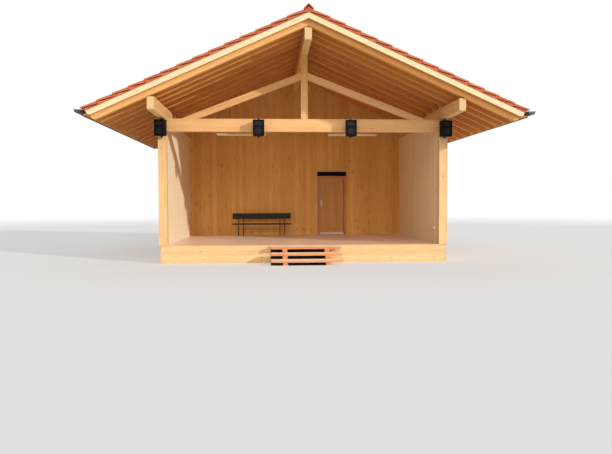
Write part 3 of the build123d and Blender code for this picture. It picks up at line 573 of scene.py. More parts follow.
def box_pattern() -> tuple[np.ndarray, np.ndarray, Faces]:
    """Pattern of a box whose edges are cut: each corner is 3 vertices, one on each of its faces.

    Returns:
        The corner sign and the facing axis of the 24 vertices, and the faces: 6 sides, 12 cut
        edges and 8 cut corners, each turned so that its normal points away from the middle.
    """
    corners = np.array([[x, y, z] for x in (-1, 1) for y in (-1, 1) for z in (-1, 1)], float)
    signs = np.repeat(corners, 3, axis=0)
    facing = np.tile(np.eye(3), (8, 1))

    def vertex(bits: dict[int, int], axis: int) -> int:
        """Number of a corner's vertex on its face across an axis."""
        return 3 * (4 * bits[0] + 2 * bits[1] + bits[2]) + axis

    sides, edges, cuts = [], [], [[3 * c, 3 * c + 1, 3 * c + 2] for c in range(8)]
    for k in range(3):
        a, b = [axis for axis in range(3) if axis != k]
        for s in (0, 1):
            sides.append([vertex({k: s, a: p, b: q}, k)
                          for p, q in ((0, 0), (1, 0), (1, 1), (0, 1))])
            for t in (0, 1):
                edges.append([vertex({k: end, a: s, b: t}, axis)
                              for end, axis in ((0, a), (1, a), (1, b), (0, b))])
    places = signs * (0.8 + 0.2 * facing)
    turned = []
    for group in (sides, edges, cuts):
        faces = np.array(group)
        points = places[faces]
        normal = np.cross(points[:, 1] - points[:, 0], points[:, 2] - points[:, 0])
        inward = np.einsum("ij,ij->i", normal, points.mean(axis=1)) < 0
        faces[inward] = faces[inward, ::-1]
        turned.append(faces)
    return signs, facing, turned


BOX_SIGNS, BOX_FACING, BOX_FACES = box_pattern()


def copies(faces: Faces, vertices: int, count: int) -> Faces:
    """The same faces for each of several copies whose vertices follow one another."""
    starts = vertices * np.arange(count)
    return [(group[None] + starts[:, None, None]).reshape(-1, group.shape[1]) for group in faces]


def eased(outline: np.ndarray, arris: float) -> np.ndarray:
    """Outline whose sharp corners are cut: each becomes two points, arris along both its edges,
    and at most 0.4 of an edge.

    Args:
        outline: Closed outline of (n, 2) points.
        arris: Length of the cut along an edge.

    Returns:
        The outline with two points for each sharp corner and one for each other corner.
    """
    before = np.roll(outline, 1, axis=0) - outline
    after = np.roll(outline, -1, axis=0) - outline
    lengths = [np.linalg.norm(edge, axis=1, keepdims=True) for edge in (before, after)]
    before, after = before / lengths[0], after / lengths[1]
    sharp = np.einsum("ij,ij->i", -before, after) < math.cos(SHARP_TURN)
    cut = np.minimum(sharp[:, None] * arris, 0.4 * np.minimum(*lengths))
    pairs = np.stack([outline + before * cut, outline + after * cut], axis=1)
    return pairs[np.stack([np.ones_like(sharp), sharp], axis=1)]


def rounded(outline: Sequence[tuple[float, float]], index: int, radius: float,
            steps: int = 7) -> np.ndarray:
    """Outline with one corner rounded: the arc touches both edges at radius * tan(turn / 2).

    Args:
        outline: Closed outline of (n, 2) points.
        index: The corner to round.
        radius: Radius of the arc.
        steps: Points on the arc.

    Returns:
        The outline with the arc's points in the corner's place.
    """
    points = np.asarray(outline, float)
    corner = points[index]
    into = corner - points[index - 1]
    out = points[(index + 1) % len(points)] - corner
    into, out = into / np.linalg.norm(into), out / np.linalg.norm(out)
    turn = math.acos(float(into @ out))
    start = corner - into * radius * math.tan(turn / 2)
    side = np.sign(into[0] * out[1] - into[1] * out[0])
    centre = start + side * radius * np.array([-into[1], into[0]])
    angle = np.linspace(0, turn, steps)[:, None]
    arc = centre + (start - centre) * np.cos(angle) + radius * into * np.sin(angle)
    return np.concatenate([points[:index], arc, points[index + 1:]])


def stack(*columns: Any) -> np.ndarray:
    """Rows of points from their columns, where a plain number stands for a whole column."""
    return np.column_stack(np.broadcast_arrays(*columns))


def sided(side: int, first: float, second: float) -> list[float]:
    """Two distances from the middle on one side, 1 for right or -1 for left, the lower first."""
    return sorted((side * first, side * second))


def prism(outline: np.ndarray, low: float, high: float, arris: float) -> tuple[np.ndarray, Faces]:
    """Outline carried from low to high with eased edges: four rings, of which the first and last
    are drawn in by arris along each corner's bisector, (n1 + n2) / (1 + n1 . n2).

    Args:
        outline: Closed outline of (n, 2) points.
        low: Where the outline starts on the axis that it is carried along.
        high: Where it ends.
        arris: Width of the cut round both ends, or 0 for square ends.

    Returns:
        Points as (outline's first, outline's second, carried) and the faces.
    """
    ahead = np.roll(outline, -1, axis=0)
    if np.sum(outline[:, 0] * ahead[:, 1] - outline[:, 1] * ahead[:, 0]) < 0:
        outline = outline[::-1]
    edge = np.roll(outline, -1, axis=0) - outline
    inward = np.stack([-edge[:, 1], edge[:, 0]], axis=1)
    inward /= np.linalg.norm(inward, axis=1, keepdims=True)
    other = np.roll(inward, 1, axis=0)
    opening = np.maximum(1 + np.einsum("ij,ij->i", inward, other), 0.3)
    inner = outline + arris * (inward + other) / opening[:, None]
    rings = [(inner, low), (outline, low + arris), (outline, high - arris), (inner, high)]
    if not arris:
        rings = [rings[0], rings[-1]]
    points = np.concatenate([stack(ring[:, 0], ring[:, 1], at) for ring, at in rings])
    return points, woven(len(rings), len(outline), True, True)


def carried(path: np.ndarray, section: np.ndarray) -> tuple[np.ndarray, Faces]:
    """Closed section carried along a path: point = path + a * first + b * second, where first is
    a slanting line made square to the path's direction and second completes the three.

    Args:
        path: Points of the path, (n, 3).
        section: Points (a, b) of the section, counter-clockwise about the path.

    Returns:
        The points, and faces with both ends closed.
    """
    along = np.gradient(path, axis=0)
    along /= np.linalg.norm(along, axis=1, keepdims=True)
    slanting = np.array([0.577, 0.578, 0.576])
    first = slanting - (along @ slanting)[:, None] * along
    first /= np.linalg.norm(first, axis=1, keepdims=True)
    second = np.cross(along, first)
    points = (path[:, None] + section[None, :, 0, None] * first[:, None]
              + section[None, :, 1, None] * second[:, None])
    return points.reshape(-1, 3), woven(len(path), len(section), True, True)


def cut_boxes(low: Any, high: Any, arris: float) -> tuple[np.ndarray, Faces]:
    """Boxes with cut edges: vertex = middle + sign * (half - arris * (1 - facing)).

    Args:
        low: Lowest corners, (n, 3) or (3,).
        high: Highest corners, of the same shape.
        arris: Width of the cut.

    Returns:
        The points and faces, one box after the other.
    """
    low, high = np.atleast_2d(low).astype(float), np.atleast_2d(high).astype(float)
    middle, half = (low + high)[:, None] / 2, (high - low)[:, None] / 2
    points = middle + BOX_SIGNS * (half - arris * (1 - BOX_FACING))
    return points.reshape(-1, 3), copies(BOX_FACES, len(BOX_SIGNS), len(low))


def woven(rows: int, columns: int, wrap: bool, capped: bool) -> Faces:
    """Faces between rows of points that follow one another.

    Args:
        rows: Number of rows.
        columns: Points in a row.
        wrap: Whether each row's last point joins its first.
        capped: Whether the first and last rows are closed by one face each.

    Returns:
        The faces.
    """
    span = columns if wrap else columns - 1
    i = np.repeat(np.arange(rows - 1), span)
    j = np.tile(np.arange(span), rows - 1)
    k = (j + 1) % columns
    faces = [np.column_stack([i * columns + j, i * columns + k, (i + 1) * columns + k,
                              (i + 1) * columns + j])]
    if capped:
        ring = np.arange(columns)
        faces += [ring[None, ::-1], (ring + (rows - 1) * columns)[None]]
    return faces


def circle(radius: float, sides: int) -> np.ndarray:
    """Points of a circle, counter-clockwise: (radius * cos t, radius * sin t)."""
    angle = np.arange(sides) * math.tau / sides
    return radius * np.column_stack([np.cos(angle), np.sin(angle)])


def lathe(profile: Sequence[tuple[float, float]], sides: int,
          axis: Sequence[float] = (0, 0, 1)) -> tuple[np.ndarray, Faces]:
    """Profile turned about an axis through the origin: r * (cos t, sin t) and its height.

    Args:
        profile: Pairs of radius and height, from the base outwards and up to the tip.
        sides: Steps round the axis.
        axis: Direction in which the height is measured.

    Returns:
        The points, and faces with both ends closed.
    """
    up, first, second = directions(axis)
    ring = circle(1.0, sides)
    pairs = np.asarray(profile, float)
    spokes = ring[:, :1] * first + ring[:, 1:] * second
    points = pairs[:, None, :1] * spokes[None] + pairs[:, None, 1:] * up
    return points.reshape(-1, 3), woven(len(pairs), sides, True, True)


def bent(corners: Sequence[Sequence[float]], radius: float, steps: int = 6) -> np.ndarray:
    """Path of a bent tube through square corners: at each one the arc is
    centre - radius * out * cos t + radius * into * sin t for t from 0 to a quarter turn.

    Args:
        corners: The path's points, each leg square to the next.
        radius: Radius of the bends.
        steps: Points on each bend.

    Returns:
        The path's points.
    """
    points = np.asarray(corners, float)
    legs = np.diff(points, axis=0)
    legs /= np.linalg.norm(legs, axis=1, keepdims=True)
    into, out, middle = legs[:-1, None], legs[1:, None], points[1:-1, None]
    centre = middle - radius * into + radius * out
    angle = np.linspace(0, math.pi / 2, steps)[None, :, None]
    arcs = centre - radius * out * np.cos(angle) + radius * into * np.sin(angle)
    return np.concatenate([points[:1], arcs.reshape(-1, 3), points[-1:]])


def placed(name: str, data: Any) -> bpy.types.Object:
    """New object with its data, linked to the scene."""
    thing = bpy.data.objects.new(name, data)
    bpy.context.scene.collection.objects.link(thing)
    return thing


@dataclass
class Shape:
    """Geometry of one piece while it is gathered, with the wood's grain and tone on it."""

    seed: int
    points: list[np.ndarray] = field(default_factory=list)
    faces: list[np.ndarray] = field(default_factory=list)
    finish: list[np.ndarray] = field(default_factory=list)
    grain: list[np.ndarray] = field(default_factory=list)
    tone: list[np.ndarray] = field(default_factory=list)
    size: int = 0

    def __post_init__(self) -> None:
        """Starts the piece's own random draws."""
        self.draws = np.random.default_rng(self.seed)

    def add(self, points: np.ndarray, faces: Faces, along: Sequence[float] = (0, 0, 1),
            groups: int = 1, flip: bool = False, finish: int = 0, end_finish: int | None = None,
            top_finish: int | None = None, tone: Any = None) -> None:
        """Adds geometry and lays its grain: u is the distance along the grain, v the sum of the
        distances along the two directions square to it, and each board starts at a random place.

        Args:
            points: The (n, 3) points.
            faces: Arrays of faces, each with one number of corners.
            along: Direction of the grain.
            groups: Number of boards, whose points follow one another in equal numbers.
            flip: Whether the faces are turned over, as a mirrored shape needs.
            finish: Number of the material for the faces.
            end_finish: Number of the material for faces across the grain, or None.
            top_finish: Number of the material for level faces and their eased edges, or None.
            tone: Tone of each board from 0 to 1, or None for a random one.
        """
        along, first, second = directions(along)
        each = len(points) // groups
        start = self.draws.uniform(0, GRAIN_LENGTH, (groups, 2)).repeat(each, axis=0)
        board = self.draws.uniform(0, 1, groups) if tone is None else np.broadcast_to(tone, groups)
        self.grain.append(stack(points @ along, points @ first + points @ second) + start)
        self.tone.append(board.repeat(each))
        for group in faces:
            group = group[:, ::-1] if flip else group
            numbers = np.full(len(group), finish)
            corner = points[group[:, :3]]
            normal = np.cross(corner[:, 1] - corner[:, 0], corner[:, 2] - corner[:, 1])
            length = np.linalg.norm(normal, axis=1)
            for number, way, share in ((end_finish, along, 0.8), (top_finish, ALONG_Z, 0.7)):
                if number is not None:
                    numbers = np.where(np.abs(normal @ way) > share * length, number, numbers)
            self.faces.append(group + self.size)
            self.finish.append(numbers)
        self.points.append(points)
        self.size += len(points)

    def boxes(self, low: Any, high: Any, arris: float, along: Sequence[float],
              **how: Any) -> None:
        """Adds boxes with cut edges, each a board of its own; how is what else add() takes."""
        points, faces = cut_boxes(low, high, arris)
        self.add(points, faces, along, groups=len(points) // len(BOX_SIGNS), **how)

    def prism(self, axis: Axis, outline: Any, low: float, high: float, arris: float,
              along: Sequence[float], mirrored: bool = False, **how: Any) -> None:
        """Adds an outline carried along an axis, with all its edges eased.

        Args:
            axis: The axis; the outline is in the two others, in the order x, y, z.
            outline: The closed outline.
            low: Where it starts.
            high: Where it ends.
            arris: Width of the eased edges.
            along: Direction of the grain on the right-hand side.
            mirrored: Whether the piece is on the left-hand side.
            **how: What else add() takes.
        """
        shape = np.asarray(outline, float)
        points, faces = prism(eased(shape, arris) if arris else shape, low, high, arris)
        mirror = np.array([-1 if mirrored else 1, 1, 1])
        self.add(points[:, list(axis.value)] * mirror, faces, along * mirror,
                 flip=mirrored != (axis is Axis.Y), **how)

    def pair(self, outline: Any, low: float, high: float, arris: float,
             along: Sequence[float], **how: Any) -> None:
        """Adds an outline carried along Y on the right-hand side, and then its mirror image."""
        for mirrored in (False, True):
            self.prism(Axis.Y, outline, low, high, arris, along, mirrored, **how)

    def turned(self, profile: Sequence[tuple[float, float]], sides: int, place: Sequence[float],
               axis: Sequence[float] = (0, 0, 1), **how: Any) -> None:
        """Adds a profile turned about an axis through a place."""
        points, faces = lathe(profile, sides, axis)
        self.add(points + place, faces, **how)

    def tube(self, path: Any, radius: float, sides: int = 12, **how: Any) -> None:
        """Adds a round bar along a path."""
        self.add(*carried(np.asarray(path, float), circle(radius, sides)), **how)

    def scatter(self, pattern: tuple[np.ndarray, Faces], places: Any, **how: Any) -> None:
        """Adds a copy of a small shape at each place."""
        points, faces = pattern
        places = np.atleast_2d(np.asarray(places, float))
        spread = (places[:, None] + points[None]).reshape(-1, 3)
        self.add(spread, copies(faces, len(points), len(places)), groups=len(places), **how)

    def take(self, other: Shape, turning: np.ndarray, place: Sequence[float]) -> None:
        """Adds all faces of another shape, whose points a matrix turns and a place then moves."""
        self.faces += [group + self.size for group in other.faces]
        self.finish += other.finish
        self.add(np.concatenate(other.points) @ turning.T + place, [])

    def piece(self, name: str, materials: Sequence[bpy.types.Material], slot: str,
              replaces: Sequence[str] = (), body: str = BUILDING) -> None:
        """Makes the mesh and hands the piece to the frame.

        Args:
            name: Name of the piece.
            materials: Its materials, in the order of the faces' numbers.
            slot: The record's material slot; not used.
            replaces: The frame's nodes that it stands for.
            body: The body that it rides on.
        """
        mesh = bpy.data.meshes.new(name)
        faces = [face for group in self.faces for face in group.tolist()]
        mesh.from_pydata(np.concatenate(self.points).tolist(), [], faces)
        for material in materials:
            mesh.materials.append(material)
        mesh.polygons.foreach_set("material_index", np.concatenate(self.finish).astype(np.int32))
        corners = np.zeros(len(mesh.loops), np.int32)
        mesh.loops.foreach_get("vertex_index", corners)
        grain = mesh.uv_layers.new(name="grain")
        spread = np.concatenate(self.grain)[corners].astype(np.float32)
        grain.data.foreach_set("uv", spread.ravel())
        tone = mesh.attributes.new("tone", "FLOAT", "POINT")
        tone.data.foreach_set("value", np.concatenate(self.tone).astype(np.float32))
        mesh.polygons.foreach_set("use_smooth", np.ones(len(faces), bool))
        mesh.update()
        mesh.set_sharp_from_angle(angle=SMOOTH_BELOW)
        piece = placed(name, mesh)
        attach(piece, body)
        if replaces:
            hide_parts(*replaces)
        LOG.info("%s: %d faces", name, len(faces))


ALONG_X, ALONG_Y, ALONG_Z = np.eye(3)
UP_SLOPE = np.array([math.cos(SITE.slope), 0.0, -math.sin(SITE.slope)])


def screws(radius: float, rise: float, axis: Sequence[float],
           sides: int = 8) -> tuple[np.ndarray, Faces]:
    """Pattern of a screw head: a low dome whose rim is drawn in, turned about the axis."""
    return lathe([(radius, -0.001), (radius, rise * 0.4), (radius * 0.75, rise),
                  (radius * 0.35, rise), (radius * 0.3, rise * 0.4)], sides, axis)


def dress(node: bpy.types.Object, material: bpy.types.Material) -> None:
    """Gives a node of the frame one material all over."""
    node.data.materials.clear()
    node.data.materials.append(material)


# Floor and plinth


@dataclass
class Floor:
    """Stage floor of boards on joists, with two plinth boards all round."""

    board_width: float = 0.142
    joint: float = 0.004
    thickness: float = 0.040
    setback: float = 0.020
    joists: int = 11
    plinth_boards: int = 2
    screw_inset: float = 0.055

    def deck(self, finishes: Finishes) -> None:
        """Boards from side to side, each row of two boards with the joint on another joist."""
        shape = Shape(11)
        inset = self.setback + self.thickness
        x, front, rear = SITE.plinth_x - self.thickness, SITE.wall_y + inset, SITE.back_y - inset
        rows = round((rear - front) / self.board_width)
        lines = np.linspace(front, rear, rows + 1)
        cut = np.linspace(-x, x, self.joists)[[3, 7, 5]][np.arange(rows) % 3]
        for start, end in ((-x, cut), (cut, x)):
            shape.boxes(stack(start, lines[:-1] + self.joint / 2, SITE.deck - self.thickness),
                        stack(end - 0.001, lines[1:] - self.joint / 2, SITE.deck), 0.003, ALONG_X)
        shape.piece("deck_planks", [finishes.deck], "deck_boards", ["stage_floor"])

    def plinth(self, finishes: Finishes) -> None:
        """Two boards one over the other on each side, the front ones with two rows of screws."""
        shape = Shape(12)
        inner = SITE.plinth_x - self.thickness
        front, rear = SITE.wall_y + self.setback, SITE.back_y - self.setback
        levels = np.linspace(0, SITE.deck, self.plinth_boards + 1)
        places = np.linspace(-inner + 0.05, inner - 0.05, self.joists)
        heads: list[np.ndarray] = []
        for low, high in zip(levels[:-1], levels[1:]):
            top = high - 0.002
            for y0, y1 in ((front, front + self.thickness), (rear - self.thickness, rear)):
                shape.boxes((-inner + 0.001, y0, low), (inner - 0.001, y1, top), 0.004, ALONG_X,
                            end_finish=1)
            for side in (-1, 1):
                x0, x1 = sided(side, inner, SITE.plinth_x)
                shape.boxes((x0, front, low), (x1, rear, top), 0.004, ALONG_Y, end_finish=1)
            for z in (low + self.screw_inset, high - self.screw_inset):
                heads.append(stack(places, front, z))
        shape.scatter(screws(0.006, 0.0015, -ALONG_Y), np.concatenate(heads), finish=2)
        shape.piece("plinth_planks", [finishes.glulam, finishes.spruce_end, finishes.screw],
                    "glulam_spruce", ["plinth_ends", "plinth_sides"])

    def build(self, finishes: Finishes, nodes: dict[str, bpy.types.Object]) -> None:
        """Builds the floor, and dresses its hidden joists and bearers."""
        self.deck(finishes)
        self.plinth(finishes)
        dress(nodes["floor_joists"], finishes.core)
        dress(nodes["floor_bearers"], finishes.core_x)


# Walls


@dataclass
class Walls:
    """Side walls, back wall and the partition behind the stage, all of upright boards."""

    board_width: float = 0.140
    arris: float = 0.0022
    door_left: float = 0.815
    door_right: float = 1.923
    door_top: float = 2.905
    back_boards: float = 0.035

    def lines(self, start: float, stop: float) -> np.ndarray:
        """Joints of the boards between two places."""
        return np.linspace(start, stop, max(1, round((stop - start) / self.board_width)) + 1)

    def upright(self, shape: Shape, x: Sequence[float], start: float, stop: float,
                top: float) -> None:
        """Adds upright boards side by side along Y."""
        lines = self.lines(start, stop)
        shape.boxes(stack(x[0], lines[:-1], SITE.deck), stack(x[1], lines[1:], top), self.arris,
                    ALONG_Z)

    def sides(self, finishes: Finishes) -> None:
        """Linings of the stage and outer boards, which stop under the beam's ends in front."""
        post_rear = SITE.wall_y + SITE.timber_depth
        lining, outer = Shape(21), Shape(22)
        for side in (-1, 1):
            faces = sided(side, SITE.post_x, SITE.cladding_x)
            self.upright(lining, sided(side, SITE.lining_x, SITE.core_x), post_rear,
                         SITE.partition_y, SITE.plate_z)
            self.upright(outer, faces, SITE.wall_y, post_rear, SITE.beam_z)
            self.upright(outer, faces, post_rear, SITE.back_y, SITE.under(SITE.cladding_x))
        lining.piece("stage_lining_boards", [finishes.lining], "spruce_boards", ["side_linings"])
        outer.piece("outer_side_boards", [finishes.boards], "spruce_boards", ["side_boards"])

    def gable_top(self, start: float, stop: float, height: float) -> list[tuple[float, float]]:
        """Upper edge of a board between two places across the hall: under the ridge purlin, or
        else on the layer height above the rafters' underside."""
        breaks = [b for b in (-SITE.ridge_x, 0.0, SITE.ridge_x) if start < b < stop]
        places = [start, *breaks, stop]
        edge: list[tuple[float, float]] = []
        for x0, x1 in zip(places[:-1], places[1:]):
            under_ridge = abs(x0 + x1) / 2 < SITE.ridge_x
            for x in (x0, x1):
                z = SITE.ridge_bottom if under_ridge else SITE.at_x(abs(x), height)[1]
                if not edge or abs(edge[-1][0] - x) + abs(edge[-1][1] - z) > 1e-6:
                    edge.append((x, z))
        return edge

    def across(self, shape: Shape, start: float, stop: float, bottom: float,
               y: tuple[float, float], top: float | None = None) -> None:
        """Adds upright boards across the hall, cut to the roof or level at a given top."""
        lines = self.lines(start, stop).tolist()
        for x0, x1 in zip(lines[:-1], lines[1:]):
            edge = [(x0, top), (x1, top)]
            if top is None:
                edge = self.gable_top(x0, x1, SITE.rafter_height)
            shape.prism(Axis.Y, [(x0, bottom), (x1, bottom), *edge[::-1]], *y, self.arris, ALONG_Z)

    def over_ridge(self, shape: Shape, y: tuple[float, float]) -> None:
        """Adds the short board over the ridge purlin."""
        x, z = SITE.ridge_x, SITE.ridge_top
        corner = SITE.at_x(x, SITE.rafter_height)[1]
        outline = [(-x, z), (x, z), (x, corner), SITE.at_x(0, SITE.rafter_height), (-x, corner)]
        shape.prism(Axis.Y, outline, *y, 0.001, ALONG_Z)

    def partition(self, finishes: Finishes) -> None:
        """Boards from the floor to the roof boards, left out at the door and its transom."""
        shape = Shape(23)
        y = (SITE.partition_y, SITE.partition_rear_y)
        for start, stop, bottom in ((-SITE.core_x, self.door_left, SITE.deck),
                                    (self.door_left, self.door_right, self.door_top),
                                    (self.door_right, SITE.core_x, SITE.deck)):
            self.across(shape, start, stop, bottom, y)
        self.over_ridge(shape, y)
        shape.piece("partition_boards", [finishes.wall], "spruce_boards",
                    [f"partition_{part}" for part in ("left", "right", "over_door", "gable")])

    def back(self, finishes: Finishes) -> None:
        """Outer boards of the back wall, stepped under the eaves purlins."""
        shape = Shape(24)
        y = (SITE.back_y - self.back_boards, SITE.back_y)
        self.across(shape, -SITE.purlin_x, SITE.purlin_x, SITE.deck, y)
        for side in (-1, 1):
            start, stop = sided(side, SITE.purlin_x, SITE.post_x)
            self.across(shape, start, stop, SITE.deck, y, SITE.plate_z)
            low = SITE.eaves_purlin_z
            lift = [SITE.at_x(abs(x), SITE.rafter_height)[1] for x in (stop, start)]
            outline = [(start, low), (stop, low), (stop, lift[0]), (start, lift[1])]
            shape.prism(Axis.Y, outline, *y, 0.001, ALONG_Z)
        self.over_ridge(shape, y)
        shape.piece("outer_back_boards", [finishes.boards], "spruce_boards", ["back_boards"])

    def build(self, finishes: Finishes, nodes: dict[str, bpy.types.Object]) -> None:
        """Builds the boards, and dresses the wall cores that they hide."""
        self.sides(finishes)
        self.partition(finishes)
        self.back(finishes)
        for name in ("left_wall", "right_wall"):
            dress(nodes[name], finishes.core)
        dress(nodes["back_wall"], finishes.core_x)


# Truss and purlins


@dataclass
class Truss:
    """Front posts, tie beam, king post, struts and the three purlins, all of glued spruce."""

    arris: float = 0.005
    strut_width: float = 0.160
    strut_height: float = 0.190
    strut_slope: float = math.radians(21)
    strut_foot: float = 3.580
    king_half: float = 0.100
    purlin_setback: float = 0.200
    purlin_nose: float = 0.040

    def frame(self, finishes: Finishes) -> None:
        """Builds the posts, the beam and the king post as square timbers."""
        y0, y1 = SITE.wall_y, SITE.wall_y + SITE.timber_depth
        posts, beam, king = Shape(31), Shape(32), Shape(33)
        for side in (-1, 1):
            x0, x1 = sided(side, SITE.lining_x, SITE.post_x)
            posts.boxes((x0, y0, SITE.deck), (x1, y1, SITE.beam_z), self.arris, ALONG_Z)
        beam.boxes((-SITE.cladding_x, y0, SITE.beam_z), (SITE.cladding_x, y1, SITE.plate_z),
                   self.arris, ALONG_X, end_finish=1)
        king.boxes((-self.king_half, y0, SITE.plate_z), (self.king_half, y1, SITE.ridge_bottom),
                   self.arris, ALONG_Z)
        wood = [finishes.beam, finishes.spruce_end]
        posts.piece("glulam_posts", [finishes.glulam], "glulam_spruce", ["front_posts"])
        beam.piece("glulam_tie_beam", wood, "glulam_spruce", ["tie_beam"])
        king.piece("glulam_king_post", wood, "glulam_spruce", ["king_post"])

    def rakers(self, finishes: Finishes) -> None:
        """Builds the struts, level at the foot and plumb at the king post."""
        shape = Shape(34)
        rise = math.tan(self.strut_slope)
        foot = self.strut_foot - self.strut_height / math.sin(self.strut_slope)
        base, x = SITE.plate_z, self.king_half
        outline = [(foot, base), (self.strut_foot, base),
                   (x, base + (self.strut_foot - x) * rise), (x, base + (foot - x) * rise)]
        front = SITE.wall_y + (SITE.timber_depth - self.strut_width) / 2
        along = (math.cos(self.strut_slope), 0, -math.sin(self.strut_slope))
        shape.pair(outline, front, front + self.strut_width, self.arris, along)
        shape.piece("glulam_struts", [finishes.beam], "glulam_spruce", ["struts"])

    def purlin(self, shape: Shape, x: Sequence[float], bottom: float, top: float) -> None:
        """Adds a purlin whose lower end corners are rounded."""
        end = SITE.verge_y - self.purlin_setback
        outline = rounded([(-end, top), (-end, bottom), (end, bottom), (end, top)], 1,
                          self.purlin_nose)
        outline = rounded(outline, len(outline) - 2, self.purlin_nose)
        shape.prism(Axis.X, outline, *x, self.arris, ALONG_Y, end_finish=1)

    def purlins(self, finishes: Finishes) -> None:
        """Builds the ridge purlin and the two eaves purlins."""
        ridge, eaves = Shape(35), Shape(36)
        self.purlin(ridge, (-SITE.ridge_x, SITE.ridge_x), SITE.ridge_bottom, SITE.ridge_top)
        for side in (-1, 1):
            x = sided(side, SITE.purlin_x, SITE.post_x)
            self.purlin(eaves, x, SITE.plate_z, SITE.eaves_purlin_z)
        wood = [finishes.glulam, finishes.spruce_end]
        ridge.piece("glulam_ridge_purlin", wood, "glulam_spruce", ["ridge_purlin"])
        eaves.piece("glulam_eaves_purlins", wood, "glulam_spruce", ["eaves_purlins"])

    def build(self, finishes: Finishes) -> None:
        """Builds the truss and the purlins."""
        self.frame(finishes)
        self.rakers(finishes)
        self.purlins(finishes)


# Roof carpentry


def on_roof(points: np.ndarray, side: int) -> np.ndarray:
    """Points given as (down the slope, along Y, square above the rafters' underside), turned into
    the frame: x = side * (s * cos + h * sin) and z = ridge - s * sin + h * cos."""
    s, y, h = points.T
    sine, cosine = math.sin(SITE.slope), math.cos(SITE.slope)
    return stack(side * (s * cosine + h * sine), y, SITE.ridge_under - s * sine + h * cosine)


